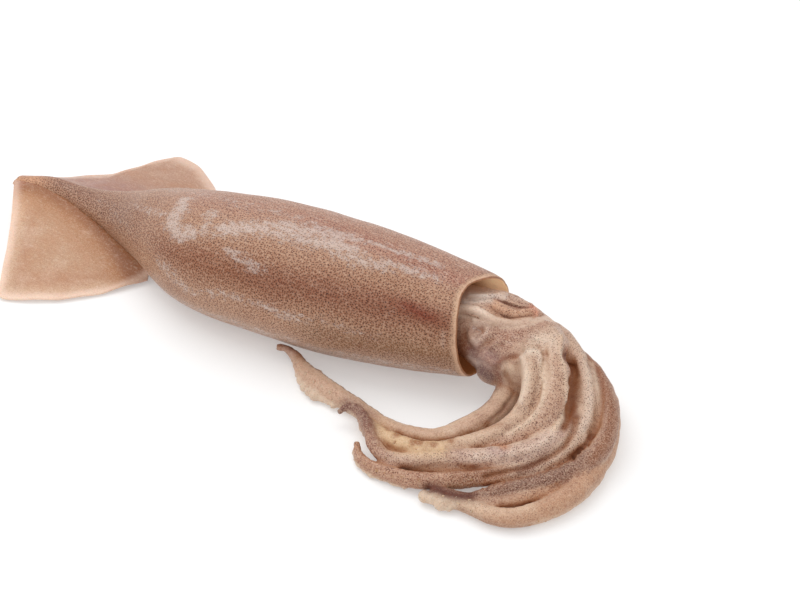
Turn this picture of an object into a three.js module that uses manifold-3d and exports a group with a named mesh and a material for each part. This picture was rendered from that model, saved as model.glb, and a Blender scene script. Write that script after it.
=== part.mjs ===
// A whole raw squid lying on its back, with its funnel side up. Millimetres, +Z up.
// +X runs from the tail to the head. The arms bend off to -Y and curl back beside the mantle.
import * as THREE from 'three';
import { mergeVertices } from 'three/addons/utils/BufferGeometryUtils.js';
import Module from 'manifold-3d';

const wasm = await Module();
wasm.setup();

// ---- driving dimensions ----

// Mantle: the muscular tube of the body, 257 mm from the tail tip to the rim of its mouth.
const TAIL_X = -168;
const MOUTH_X = 90;
// Each station: x, y of the axis, lift of the underside, half height, width over height.
const MANTLE_STATIONS = [
  [TAIL_X, 5.0, 8.6, 1.8, 1.5],
  [-151, 8.0, 8.4, 3.6, 1.35],
  [-127, 7.0, 7.0, 5.6, 1.3],
  [-103, 5.0, 4.0, 10.4, 1.25],
  [-79, 0.5, 2.0, 17.2, 1.2],
  [-43, -7.5, -0.8, 25.6, 1.14],
  [-7, -6.0, -1.6, 28.8, 1.1],
  [41, -0.5, -1.2, 28.4, 1.08],
  [MOUTH_X, 8.3, 4.2, 21.8, 1.06],
];
// The rim of the mouth leans: its lower side reaches further than its upper side by this. It is
// notched over the funnel and has a low lobe beside the near eye. Each of the two has its reach
// along the mantle, its place as a turn from the underside, and its width, in degrees.
const RIM_LEAN = 2.4;
const RIM_LEAN_LENGTH = 50;
const RIM_NOTCH = { reach: -4.2, place: 196, width: 30 };
const RIM_LOBE = { reach: 2.4, place: 292, width: 42 };
const MANTLE_WALL = 3.0;
const POCKET_DEPTH = 42;
const MANTLE_SIDES = 24;
const MANTLE_RING_SPACING = 8;

// Fins: two thin flaps that leave the lower side of the tail and droop to the ground.
// Each edge station: x, y of the edge, z of the edge.
const NEAR_FIN_EDGE = [
  [TAIL_X, 2.5, 10.0],
  [-154, -14.5, 8.0],
  [-139, -35, 4.5],
  [-120, -63, 1.2],
  [-117, -63.5, 1.0],
  [-108, -59, 1.0],
  [-95, -50, 1.0],
  [-83, -36, 1.2],
  [-72, -17, 2.0],
];
const FAR_FIN_EDGE = [
  [TAIL_X, 7.5, 10.0],
  [-154, 20, 8.0],
  [-138, 39, 5.0],
  [-133, 62, 2.5],
  [-127, 74, 1.4],
  [-112, 72, 1.0],
  [-94, 61, 1.0],
  [-83, 46, 1.2],
  [-71, 15, 2.0],
];
const FIN_ROOT_THICKNESS = 4.0;
const FIN_EDGE_THICKNESS = 1.6;
const FIN_DROOP = 1.5;
const FIN_STEPS = 5;
const FIN_RING_SPACING = 4.5;
// Where the fin leaves the oval of the mantle, as a turn below its widest line.
const FIN_ROOT_TURN_AT_TAIL = THREE.MathUtils.degToRad(-5);
const FIN_ROOT_TURN_AT_FRONT = THREE.MathUtils.degToRad(-50);

// Head: a short thick block that narrows to a neck inside the mantle.
// Each station: x, y, z of the axis, half width, half height.
const HEAD_STATIONS = [
  [52, 9.0, 25.5, 12.0, 11.0],
  [70, 9.0, 25.0, 14.0, 12.8],
  [84, 9.0, 24.6, 14.6, 13.4],
  [92, 9.3, 22.8, 16.6, 14.0],
  [101, 10.5, 20.6, 19.6, 15.6],
  [110, 10.0, 20.4, 19.4, 15.4],
  [118, 8.0, 20.8, 17.3, 14.4],
  [125, 5.5, 21.0, 13.0, 11.5],
  [129, 4.0, 20.5, 6.5, 6.0],
];
const HEAD_SIDES = 20;
const EYE_RADIUS = 8.8;
const EYES = [
  [102.2, -1.5, 17.6],
  [103.5, 22.0, 17.6],
];

// Funnel: a flattened siphon tube in a groove on top of the head, open towards the arms.
// Each station: x, y, z of the axis, half width, half height.
const FUNNEL_STATIONS = [
  [68, 8.5, 36.0, 8.0, 2.2],
  [82, 9.5, 36.4, 10.0, 2.8],
  [91, 11.0, 36.2, 11.0, 3.5],
  [99, 12.8, 34.8, 10.4, 3.9],
  [106, 14.2, 33.1, 8.8, 3.5],
  [111, 15.2, 32.2, 6.8, 2.7],
];
const FUNNEL_SIDES = 14;
const FUNNEL_WALL = 1.3;
const FUNNEL_BORE_DEPTH = 16;

// A cut or resting neighbour keeps this gap.
const GAP = 0.45;

// Arms and tentacles: each has its root and tip radius, how late it tapers, the swelling of its
// club if it has one, and its route from inside the head to its tip. They fall from the head to
// the ground in a heap, so a limb's height is that of the limbs under it.
const ARMS = {
  near_tentacle: {
    root: 6.4, tip: 1, taper: 0.95, club: 2.0,
    route: [
      [105, 9, 18], [110, 0, 13.5], [113.7, -12, 10], [112.7, -24, 8.4], [108.4, -33.8, 7.2], [101.2, -44, 5.5],
      [90, -47.3, 4.8], [79, -47.6, 4.3], [69, -45.4, 4.1], [61, -43, 4], [53, -42, 4], [35, -38, 4.2],
      [26, -34, 4.4], [18, -29, 5], [13, -28, 5.6], [10, -30, 6],
    ],
  },
  inner_arm: {
    root: 5.3, tip: 1.4, taper: 1.5, club: 1.2,
    route: [
      [117, 2, 30], [122.5, -6, 28.5], [125.5, -10.3, 26.5], [128.8, -16.2, 22.4], [129.4, -22, 18.6],
      [127.8, -28, 15], [123.8, -34.4, 11.8], [118.4, -40.6, 9.6], [112.8, -46.2, 8.2], [107, -51.5, 7.3],
      [98, -55.6, 6.8], [86.5, -56.4, 6.6], [75.6, -53.4, 6.4], [66.6, -47.6, 6],
    ],
  },
  keeled_arm: {
    root: 5.9, tip: 0.8, taper: 1.9,
    route: [
      [115, 15, 29], [124, 7, 29.5], [131, -3.3, 28.5], [136.3, -11, 25.5], [138, -17.5, 21.5],
      [137.2, -24, 17], [133.5, -30, 13], [127.5, -36.5, 9.5], [120, -43, 6.8], [111, -48, 5],
      [101, -50.5, 4], [92, -50, 3.4],
    ],
  },
  covered_arm: {
    root: 5.4, tip: 1.1, taper: 1.8,
    route: [
      [119, 18, 20], [131, 6, 19.5], [138.6, -5, 18.2], [143.8, -14, 16.4], [145.8, -23.6, 14.5],
      [143, -33, 13], [137.4, -40, 11.6], [131.3, -44.7, 10], [124.4, -48.7, 9], [117.2, -52.1, 8.2],
      [110.5, -56.3, 7.6], [103.5, -60.2, 6.8], [96.7, -64.3, 6.2], [90.3, -65.5, 6.4], [83.9, -63.3, 7.4],
      [77.5, -58.2, 8.4], [71.2, -52, 8.8], [65.1, -49, 8.8], [60, -49.6, 8], [58.5, -53.1, 6.5],
    ],
  },
  ridge_arm: {
    root: 4.9, tip: 1, taper: 1.5, club: 0.9,
    route: [
      [114, 22, 25], [124, 18, 24], [132, 11.6, 22.5], [139, 5.2, 20.5], [145, -2.8, 18.2],
      [149.6, -10.8, 15.4], [151.2, -21, 12.8], [149.5, -30.5, 10.6], [146, -38.5, 9], [140.4, -45.4, 7.8],
      [132.5, -52.5, 6.6], [120.6, -61.7, 5.2], [109, -68.4, 4.4], [100.9, -70.6, 4.2], [92.7, -71.3, 4],
      [85, -70.6, 3.8], [78.6, -67, 3.4], [74, -61.9, 3.6],
    ],
  },
  outer_arm: {
    root: 5.2, tip: 1.3, taper: 2.2,
    route: [
      [117, 19, 20], [134, 15, 19], [148, 6, 16], [157, -6, 13], [161, -19, 10.5], [159, -32, 8.5],
      [153, -43, 7], [143.9, -53.1, 6], [136.8, -59.4, 5], [133.1, -63.7, 4.2], [129.8, -67.3, 4.4],
      [125.5, -68.5, 5], [120.7, -69.1, 5], [115.7, -70.8, 4.6],
    ],
  },
  folded_arm: {
    root: 5.0, tip: 1.4, taper: 2.6,
    route: [
      [119, 14, 14], [135, 11, 11], [145, 3, 8.5], [151, -7, 7.2], [153.4, -17, 6.4], [153, -27.4, 5.8],
      [150.6, -36.8, 5.2], [146, -45, 4.8], [140, -51.8, 4.4], [135.5, -55.4, 4],
    ],
  },
  low_arm: {
    root: 5.2, tip: 1.6, taper: 3.2,
    route: [
      [117, 16, 12], [129, 19.5, 10], [139.6, 18.4, 8.4], [147.6, 11, 7], [154, 0.8, 5.8], [158.6, -8.6, 5.2],
      [161.4, -18.6, 4.9], [163.2, -29.4, 4.8], [163.4, -40.3, 4.7], [160.9, -51, 4.5], [156.2, -60.6, 4.2],
      [150, -67.3, 4.1], [142.5, -69.9, 3.9], [133.4, -70, 3.7], [127.2, -70.5, 3.4], [122.2, -72.1, 3.2],
      [114.1, -75.5, 3],
    ],
  },
  under_arm: {
    root: 5.2, tip: 1.6, taper: 2.0,
    route: [
      [116, 6, 12], [131, 8, 11], [139, -1, 9.5], [143.6, -12, 7.8], [145, -23, 6.4], [142.3, -32.1, 5.4],
      [137.3, -40.6, 4.8], [131.1, -48, 4.4], [122.8, -53.3, 4], [111.7, -58.9, 3.8], [100.9, -63.4, 3.4],
      [91.5, -65.3, 3.2],
    ],
  },
  under_tentacle: {
    root: 4.8, tip: 1.4, taper: 2.6,
    route: [
      [118, 10, 10], [133, 12, 9.5], [144, 7, 8], [151, -1, 6.6], [155.6, -11, 5.8], [158, -21, 5.4],
      [158, -31.6, 5], [155.8, -41.4, 4.8], [151.6, -50.6, 4.6], [146.6, -57.8, 4.4], [140.4, -63.4, 4.1],
      [133, -67.6, 3.7], [124.4, -70.6, 3],
    ],
  },
};
const ARM_SIDES = 8;
const ARM_RING_SPACING = 7;
const CLUB_PLACE = 0.8;
const CLUB_LENGTH = 0.13;

// Suckers that stand out of the arms: which arm, from and to as shares of its length, how many,
// the radius of the largest, and the side they face, in degrees from straight up, + to the left.
const SUCKER_ROWS = [
  { arm: 'near_tentacle', from: 0.62, to: 0.93, count: 11, radius: 1.5, faces: 75 },
  { arm: 'near_tentacle', from: 0.76, to: 0.92, count: 5, radius: 1.1, faces: -80 },
  { arm: 'low_arm', from: 0.84, to: 0.98, count: 6, radius: 2.0, faces: 100 },
  { arm: 'low_arm', from: 0.8, to: 0.97, count: 6, radius: 1.7, faces: 20 },
  { arm: 'ridge_arm', from: 0.7, to: 0.92, count: 8, radius: 1.2, faces: 95 },
];

// ---- finishes ----

function skin(color, roughness) {
  return new THREE.MeshStandardMaterial({ color, roughness, metalness: 0 });
}
const MANTLE_SKIN = skin(0xa67f68, 0.35);
const HEAD_SKIN = skin(0xc0977c, 0.3);
const FUNNEL_SKIN = skin(0xa8785a, 0.3);

// ---- shape helpers ----

// A smooth curve through the rows of a table, read at any value of its first column.
function tableAt(table, x) {
  const last = table.length - 1;
  const row = Math.max(0, Math.min(last - 1, table.findIndex((r) => r[0] > x) - 1));
  const i = x >= table[last][0] ? last - 1 : row;
  const width = table[i + 1][0] - table[i][0];
  const t = Math.max(0, Math.min(1, (x - table[i][0]) / width));
  const slope = (k, column) => {
    const before = Math.max(0, k - 1);
    const after = Math.min(last, k + 1);
    return (table[after][column] - table[before][column]) / (table[after][0] - table[before][0]);
  };
  return table[i].map((start, column) => {
    const end = table[i + 1][column];
    const m0 = slope(i, column) * width;
    const m1 = slope(i + 1, column) * width;
    const t2 = t * t;
    const t3 = t2 * t;
    return (2 * t3 - 3 * t2 + 1) * start + (t3 - 2 * t2 + t) * m0
      + (3 * t2 - 2 * t3) * end + (t3 - t2) * m1;
  });
}

// A straight reading of the same kind of table, for edges with sharp corners.
function straightTableAt(table, x) {
  const i = Math.max(0, Math.min(table.length - 2, table.findIndex((r) => r[0] > x) - 1));
  const t = Math.max(0, Math.min(1, (x - table[i][0]) / (table[i + 1][0] - table[i][0])));
  return table[i].map((start, column) => start + t * (table[i + 1][column] - start));
}

// A closed skin over a row of rings with the same number of points, its two ends fanned shut.
function loft(rings) {
  const sides = rings[0].length;
  const points = rings.flat();
  const middle = (ring) => ring.reduce((sum, p) => sum.add(p), new THREE.Vector3()).divideScalar(sides);
  points.push(middle(rings[0]), middle(rings[rings.length - 1]));
  const index = [];
  const lastRing = (rings.length - 1) * sides;
  for (let side = 0; side < sides; side += 1) {
    const next = (side + 1) % sides;
    for (let ring = 0; ring < rings.length - 1; ring += 1) {
      const a = ring * sides + side;
      const b = ring * sides + next;
      index.push(a, b, a + sides, b, b + sides, a + sides);
    }
    index.push(points.length - 2, next, side);
    index.push(points.length - 1, lastRing + side, lastRing + next);
  }
  const geometry = new THREE.BufferGeometry().setFromPoints(points);
  geometry.setIndex(index);
  return facingOut(geometry);
}

function volumeOf(geometry) {
  const place = geometry.getAttribute('position');
  const index = geometry.getIndex();
  const corner = [new THREE.Vector3(), new THREE.Vector3(), new THREE.Vector3()];
  let total = 0;
  for (let i = 0; i < index.count; i += 3) {
    corner.forEach((c, k) => c.fromBufferAttribute(place, index.getX(i + k)));
    total += corner[0].dot(corner[1].cross(corner[2])) / 6;
  }
  return total;
}

// Turns every triangle over if the body is inside out.
function facingOut(geometry) {
  if (volumeOf(geometry) < 0) {
    const index = geometry.getIndex().array;
    for (let i = 0; i < index.length; i += 3) {
      [index[i], index[i + 1]] = [index[i + 1], index[i]];
    }
  }
  return geometry;
}

// An oval ring square to a direction, flat side level with the ground.
function ovalRing(centre, direction, halfWidth, halfHeight, sides) {
  const across = new THREE.Vector3(0, 0, 1).cross(direction).normalize();
  const up = direction.clone().cross(across).normalize();
  const ring = [];
  for (let k = 0; k < sides; k += 1) {
    const turn = (2 * Math.PI * k) / sides;
    ring.push(centre.clone()
      .addScaledVector(across, halfWidth * Math.cos(turn))
      .addScaledVector(up, halfHeight * Math.sin(turn)));
  }
  return ring;
}

// Oval rings from one x to another along a table of stations: x, y, z, half width, half height.
function ovalRings(stations, sides, steps, from, to, grow) {
  const rings = [];
  for (let k = 0; k <= steps; k += 1) {
    const x = THREE.MathUtils.lerp(from, to, k / steps);
    const [, y, z, halfWidth, halfHeight] = tableAt(stations, x);
    const centre = new THREE.Vector3(x, y, z);
    rings.push(ovalRing(centre, new THREE.Vector3(1, 0, 0), halfWidth + grow, halfHeight + grow, sides));
  }
  return rings;
}

function toManifold(geometry) {
  const bare = geometry.clone();
  bare.deleteAttribute('normal');
  bare.deleteAttribute('uv');
  const merged = mergeVertices(bare, 1e-4);
  return new wasm.Manifold(new wasm.Mesh({
    numProp: 3,
    vertProperties: new Float32Array(merged.getAttribute('position').array),
    triVerts: new Uint32Array(merged.getIndex().array),
  }));
}

function toGeometry(manifold) {
  const mesh = manifold.getMesh();
  const geometry = new THREE.BufferGeometry();
  geometry.setAttribute('position', new THREE.BufferAttribute(mesh.vertProperties, 3));
  geometry.setIndex(new THREE.BufferAttribute(mesh.triVerts, 1));
  return geometry;
}

// The largest body of a union: this fills a space that the union sealed and drops loose scraps.
function wholeBody(manifold) {
  const bodies = manifold.decompose();
  return bodies.reduce((best, body) => (body.volume() > best.volume() ? body : best));
}

// ---- mantle and fins ----

// The mantle's section at x: the middle of the oval, its half width and its half height.
function mantleSection(x) {
  const [, y, lift, halfHeight, ratio] = tableAt(MANTLE_STATIONS, x);
  return { centre: new THREE.Vector3(x, y, lift + halfHeight), halfHeight, halfWidth: halfHeight * ratio };
}

// How far the rim stands out along the mantle at a turn from the underside.
function rimReach(turn) {
  const bump = ({ reach, place, width }) => {
    const away = THREE.MathUtils.euclideanModulo(THREE.MathUtils.radToDeg(turn) - place + 180, 360) - 180;
    return reach * Math.exp(-((away / width) ** 2));
  };
  return (RIM_LEAN / 2) * Math.cos(turn) + bump(RIM_NOTCH) + bump(RIM_LOBE);
}

// One ring of the mantle, drawn in by inset. It is flat where it rests on the ground.
function mantleRing(x, inset) {
  const { centre, halfWidth, halfHeight } = mantleSection(x);
  const lean = THREE.MathUtils.smoothstep(x, MOUTH_X - RIM_LEAN_LENGTH, MOUTH_X);
  const ring = [];
  for (let k = 0; k < MANTLE_SIDES; k += 1) {
    const turn = (2 * Math.PI * (k + 0.5)) / MANTLE_SIDES;
    ring.push(new THREE.Vector3(
      x + lean * rimReach(turn),
      centre.y + (halfWidth - inset) * Math.sin(turn),
      Math.max(inset, centre.z - (halfHeight - inset) * Math.cos(turn)),
    ));
  }
  return ring;
}

// The closed tube with the pocket at its mouth.
function mantleTube() {
  const rings = [];
  const steps = Math.round((MOUTH_X - TAIL_X) / MANTLE_RING_SPACING);
  for (let k = 0; k <= steps; k += 1) {
    rings.push(mantleRing(THREE.MathUtils.lerp(TAIL_X, MOUTH_X, k / steps), 0));
  }
  const pocketSteps = 4;
  for (let k = 0; k <= pocketSteps; k += 1) {
    rings.push(mantleRing(MOUTH_X - (POCKET_DEPTH * k) / pocketSteps, MANTLE_WALL));
  }
  return loft(rings);
}

// The x of each ring of a fin: one at every corner of its edge, and more between them.
function finRingPlaces(edge) {
  const places = [edge[0][0]];
  for (let i = 1; i < edge.length; i += 1) {
    const [before, after] = [edge[i - 1][0], edge[i][0]];
    const steps = Math.ceil((after - before) / FIN_RING_SPACING);
    for (let k = 1; k <= steps; k += 1) {
      places.push(THREE.MathUtils.lerp(before, after, k / steps));
    }
  }
  return places;
}

// One fin: a thin flap from the mantle's axis out past its side and down to the edge.
// side is -1 for the near fin and 1 for the far fin.
function finFlap(edge, side) {
  const end = edge[edge.length - 1][0];
  const rings = [];
  for (const x of finRingPlaces(edge)) {
    const { centre, halfWidth, halfHeight } = mantleSection(x);
    const along = (x - TAIL_X) / (end - TAIL_X);
    const turn = THREE.MathUtils.lerp(FIN_ROOT_TURN_AT_TAIL, FIN_ROOT_TURN_AT_FRONT, along);
    const rootY = centre.y + side * halfWidth * Math.cos(turn);
    const rootZ = Math.max(FIN_ROOT_THICKNESS / 2, centre.z + halfHeight * Math.sin(turn));
    const [, edgeY, edgeZ] = straightTableAt(edge, x);
    const reach = Math.max(FIN_EDGE_THICKNESS / 2, side * (edgeY - rootY));
    const thickness = Math.min(FIN_ROOT_THICKNESS, halfHeight);
    const upper = [new THREE.Vector3(x, centre.y, rootZ + thickness / 2)];
    const lower = [new THREE.Vector3(x, centre.y, rootZ - thickness / 2)];
    for (let m = 0; m <= FIN_STEPS; m += 1) {
      const t = m / FIN_STEPS;
      const y = rootY + side * reach * t;
      const z = edgeZ + (rootZ - edgeZ) * (1 - t) ** FIN_DROOP;
      const half = THREE.MathUtils.lerp(thickness, FIN_EDGE_THICKNESS, t) / 2;
      upper.push(new THREE.Vector3(x, y, z + half));
      lower.push(new THREE.Vector3(x, y, Math.max(0, z - half)));
    }
    rings.push([...upper, ...lower.reverse()]);
  }
  return loft(rings);
}

function mantle() {
  const body = toManifold(mantleTube())
    .add(toManifold(finFlap(NEAR_FIN_EDGE, -1)))
    .add(toManifold(finFlap(FAR_FIN_EDGE, 1)));
  return new THREE.Mesh(toGeometry(wholeBody(body)), MANTLE_SKIN);
}

// ---- funnel ----

function funnelShape(grow) {
  const first = FUNNEL_STATIONS[0][0];
  const last = FUNNEL_STATIONS[FUNNEL_STATIONS.length - 1][0];
  return ovalRings(FUNNEL_STATIONS, FUNNEL_SIDES, 9, first - grow, last + grow, grow);
}

function funnel() {
  const mouth = FUNNEL_STATIONS[FUNNEL_STATIONS.length - 1][0];
  const bore = ovalRings(FUNNEL_STATIONS, FUNNEL_SIDES, 3, mouth, mouth - FUNNEL_BORE_DEPTH, -FUNNEL_WALL);
  return new THREE.Mesh(loft([...funnelShape(0), ...bore]), FUNNEL_SKIN);
}

// ---- head, arms and tentacles ----

// An arm's radius at a share s of its length: full at the root, thin at the tip, with the
// swelling of the club on a tentacle.
function armRadius(arm, s) {
  const swelling = (arm.club ?? 0) * Math.exp(-(((s - CLUB_PLACE) / CLUB_LENGTH) ** 2));
  return arm.tip + (arm.root - arm.tip) * (1 - s ** arm.taper) + swelling;
}

function armCurve(arm) {
  return new THREE.CatmullRomCurve3(arm.route.map((p) => new THREE.Vector3(...p)));
}

function armSolid(arm) {
  const curve = armCurve(arm);
  const steps = Math.round(curve.getLength() / ARM_RING_SPACING);
  const rings = [];
  for (let k = 0; k <= steps; k += 1) {
    const s = k / steps;
    const centre = curve.getPointAt(s);
    const radius = Math.min(armRadius(arm, s), centre.z);
    rings.push(ovalRing(centre, curve.getTangentAt(s), radius, radius, ARM_SIDES));
  }
  return toManifold(loft(rings));
}

// Round suckers that stand out of one side of an arm.
function suckerRow(row) {
  const arm = ARMS[row.arm];
  const curve = armCurve(arm);
  const turn = THREE.MathUtils.degToRad(row.faces);
  const beads = [];
  for (let k = 0; k < row.count; k += 1) {
    const s = THREE.MathUtils.lerp(row.from, row.to, (k + 0.5) / row.count);
    const tangent = curve.getTangentAt(s);
    const left = new THREE.Vector3(0, 0, 1).cross(tangent).normalize();
    const up = tangent.clone().cross(left);
    const outward = up.multiplyScalar(Math.cos(turn)).addScaledVector(left, Math.sin(turn));
    const size = row.radius * (1 - 0.4 * Math.abs((2 * k) / row.count - 1));
    const place = curve.getPointAt(s).addScaledVector(outward, armRadius(arm, s));
    place.z = Math.max(place.z, size);
    const bead = new THREE.IcosahedronGeometry(size, 0);
    bead.translate(place.x, place.y, place.z);
    beads.push(toManifold(bead));
  }
  return beads;
}

function eyeBulge([x, y, z]) {
  const bulge = new THREE.SphereGeometry(EYE_RADIUS, 12, 8);
  bulge.translate(x, y, z);
  return toManifold(bulge);
}

function head() {
  const first = HEAD_STATIONS[0][0];
  const last = HEAD_STATIONS[HEAD_STATIONS.length - 1][0];
  const block = toManifold(loft(ovalRings(HEAD_STATIONS, HEAD_SIDES, 14, first, last, 0)));
  const limbs = Object.values(ARMS).map(armSolid);
  const suckers = SUCKER_ROWS.flatMap(suckerRow);
  const fused = wasm.Manifold.union([block, ...EYES.map(eyeBulge), ...limbs, ...suckers]);
  const groove = toManifold(loft(funnelShape(GAP)));
  return new THREE.Mesh(toGeometry(wholeBody(fused.subtract(groove))), HEAD_SKIN);
}

// ---- the whole squid ----

const squid = new THREE.Group();
for (const [name, piece] of Object.entries({ mantle: mantle(), head: head(), funnel: funnel() })) {
  piece.name = name;
  squid.add(piece);
}

// The origin is on the ground, under the middle of the outline.
const outline = new THREE.Box3().setFromObject(squid);
const middle = outline.getCenter(new THREE.Vector3());
squid.position.set(-middle.x, -middle.y, -outline.min.z);

export default squid;
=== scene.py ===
# %% [markdown]
# # A whole raw squid, lying on its back
# The squid has four kinds of surface: a speckled mantle tube, two thin smooth fins, a head with
# ten limbs, and a flattened funnel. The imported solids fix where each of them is. This script draws
# finer skins in the same places, paints them, and puts suckers on the limbs.

# %% Open the frame
import math
import random

import bmesh
import bpy
import numpy as np
from mathutils import Matrix, Vector, noise
from mathutils.bvhtree import BVHTree
from mathutils.kdtree import KDTree


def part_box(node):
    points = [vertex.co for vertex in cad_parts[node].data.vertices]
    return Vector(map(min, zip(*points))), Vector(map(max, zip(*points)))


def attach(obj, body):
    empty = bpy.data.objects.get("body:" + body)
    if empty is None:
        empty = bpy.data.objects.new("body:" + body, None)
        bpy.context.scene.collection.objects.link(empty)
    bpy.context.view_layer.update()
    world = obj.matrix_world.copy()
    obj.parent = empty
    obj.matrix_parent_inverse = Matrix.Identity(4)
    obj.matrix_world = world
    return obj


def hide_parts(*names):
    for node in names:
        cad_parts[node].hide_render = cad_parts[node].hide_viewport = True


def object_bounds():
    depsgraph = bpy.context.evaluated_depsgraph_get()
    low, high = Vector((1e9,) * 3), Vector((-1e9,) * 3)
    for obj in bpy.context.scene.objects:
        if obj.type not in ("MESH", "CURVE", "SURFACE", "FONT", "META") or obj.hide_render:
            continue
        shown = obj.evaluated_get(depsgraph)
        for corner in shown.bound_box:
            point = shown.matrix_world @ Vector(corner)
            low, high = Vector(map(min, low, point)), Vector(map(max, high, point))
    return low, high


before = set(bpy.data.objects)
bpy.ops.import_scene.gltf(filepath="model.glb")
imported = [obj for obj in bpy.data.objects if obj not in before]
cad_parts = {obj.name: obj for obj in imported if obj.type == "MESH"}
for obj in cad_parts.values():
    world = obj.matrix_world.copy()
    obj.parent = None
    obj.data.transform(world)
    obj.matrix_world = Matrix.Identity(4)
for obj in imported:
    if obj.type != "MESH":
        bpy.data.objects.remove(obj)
cad_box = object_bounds()
print("solids:", sorted(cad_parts))

# %% [markdown]
# The drawing is easier in millimetres, with the tail tip at x = -168 as in the solids' own plan.
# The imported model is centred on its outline, so the mantle's lowest corner tells how far the plan
# was moved. Every finished skin goes through that one move and becomes metres.

# %% From the plan in millimetres to the frame in metres
TAIL_X = -168.0
MOUTH_X = 90.0
NEAREST_Y = -63.5
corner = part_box("mantle")[0]
PLAN_TO_FRAME = Matrix.Translation(
    (corner.x - TAIL_X / 1000, corner.y - NEAREST_Y / 1000, 0)
) @ Matrix.Scale(0.001, 4)
print("plan moved by, mm:", [round(1000 * v, 3) for v in PLAN_TO_FRAME.translation])

# %% [markdown]
# The camera looks down on the squid from its belly side. It is set first, because every later
# decision about detail depends on how large a millimetre is in the picture.

# %% Camera
LOOK_AT = PLAN_TO_FRAME @ Vector((29, 36, 0))
LENS, SENSOR = 100, 36
AZIMUTH, ELEVATION, DISTANCE = math.radians(34), math.radians(35), 0.988
camera_data = bpy.data.cameras.new("camera")
camera_data.lens = LENS
camera_data.sensor_width = SENSOR
camera = bpy.data.objects.new("camera", camera_data)
bpy.context.scene.collection.objects.link(camera)
toward = Vector((
    math.sin(AZIMUTH) * math.cos(ELEVATION),
    -math.cos(AZIMUTH) * math.cos(ELEVATION),
    math.sin(ELEVATION),
))
camera.location = LOOK_AT + DISTANCE * toward
camera.rotation_euler = (-toward).to_track_quat("-Z", "Y").to_euler()
bpy.context.scene.camera = camera
print("camera at", tuple(round(v, 3) for v in camera.location))

# %% [markdown]
# A raw squid is soft, so its outline is a row of ovals joined smoothly. `smooth_row` reads a short
# table of stations at any x. The same few numbers then give a ring every millimetre. It could be a
# Bezier curve object, but a function can be asked for any x, also when the skin is painted.

# %% Reading a table of stations
def smooth_row(table, x):
    """The row of the table at each x, smoothly between its stations."""
    rows = np.asarray(table, float)
    place = rows[:, 0]
    slope = np.empty_like(rows)
    slope[1:-1] = (rows[2:] - rows[:-2]) / (place[2:] - place[:-2])[:, None]
    slope[0] = (rows[1] - rows[0]) / (place[1] - place[0])
    slope[-1] = (rows[-1] - rows[-2]) / (place[-1] - place[-2])
    x = np.atleast_1d(np.asarray(x, float))
    i = np.clip(np.searchsorted(place, x, "right") - 1, 0, len(place) - 2)
    width = (place[i + 1] - place[i])[:, None]
    t = np.clip((x[:, None] - place[i][:, None]) / width, 0, 1)
    t2, t3 = t * t, t * t * t
    return ((2 * t3 - 3 * t2 + 1) * rows[i] + (t3 - 2 * t2 + t) * slope[i] * width
            + (3 * t2 - 2 * t3) * rows[i + 1] + (t3 - t2) * slope[i + 1] * width)


def smoothstep(low, high, value):
    """0 at low, 1 at high and a soft rise between. Low may be the larger."""
    t = np.clip((np.asarray(value, float) - low) / (high - low), 0, 1)
    return t * t * (3 - 2 * t)


# %% Soft noise and soft lines
# Wherever a skin is dented or painted, one of these two says where and how strongly.
def wobble(points, size, seed=0.0):
    """Smooth noise at each point, about -1 to 1, with lumps of the given size in millimetres."""
    shift = Vector((seed, 2.3 * seed, -1.7 * seed))
    return np.array([noise.noise(Vector(p) / size + shift) for p in points])


VIEW = np.array(toward)
DEPTH_LEFT_OUT = 0.65


def near_line(points, corners, width):
    """1 on a line through the corners and 0 a few widths from it. Depth along the view counts less."""
    near = np.zeros(len(points))
    corners = np.asarray(corners, float)
    for start, end in zip(corners, corners[1:]):
        way = end - start
        share = np.clip((points - start) @ way / (way @ way), 0, 1)
        gap = points - start - share[:, None] * way
        gap -= DEPTH_LEFT_OUT * (gap @ VIEW)[:, None] * VIEW
        near = np.maximum(near, np.exp(-(gap ** 2).sum(1) / width ** 2))
    return near


# %% [markdown]
# Every skin starts as one circle that is extruded along the body ring by ring, like a sock being
# knitted. Each ring's points keep their number in a layer, which extruding copies, so the next
# ring can be put in its place. Both ends are filled, so each sock is a closed skin. A subdivided
# cube could be pulled into these shapes too, but its quads would not follow the body.

# %% The sock
def knit_sock(bm, rings):
    """Adds a closed skin through the rings, which are all of the same number of points."""
    slot = bm.verts.layers.int.get("slot") or bm.verts.layers.int.new("slot")
    ring = bmesh.ops.create_circle(bm, segments=rings.shape[1], radius=1)["verts"]
    for k, vert in enumerate(ring):
        vert[slot] = k
    edges = list({edge for vert in ring for edge in vert.link_edges})
    start = edges
    for k, spots in enumerate(rings):
        if k:
            grown = bmesh.ops.extrude_edge_only(bm, edges=edges)["geom"]
            ring = [g for g in grown if isinstance(g, bmesh.types.BMVert)]
            fresh = set(ring)
            edges = [g for g in grown if isinstance(g, bmesh.types.BMEdge)
                     and g.verts[0] in fresh and g.verts[1] in fresh]
        for vert in ring:
            vert.co = spots[vert[slot]]
    bmesh.ops.edgeloop_fill(bm, edges=start)
    bmesh.ops.edgeloop_fill(bm, edges=edges)


# %% From a bmesh to a finished piece
def mesh_points(mesh):
    flat = np.empty(len(mesh.vertices) * 3, np.float32)
    mesh.vertices.foreach_get("co", flat)
    return flat.reshape(-1, 3).astype(float)


def piece_from(bm, name, outward=True):
    """Turns the bmesh into an object with smooth shading."""
    if outward:
        bmesh.ops.recalc_face_normals(bm, faces=bm.faces)
    mesh = bpy.data.meshes.new(name)
    bm.to_mesh(mesh)
    bm.free()
    mesh.shade_smooth()
    piece = bpy.data.objects.new(name, mesh)
    bpy.context.scene.collection.objects.link(piece)
    print(name, len(mesh.vertices), "points")
    return piece


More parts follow.
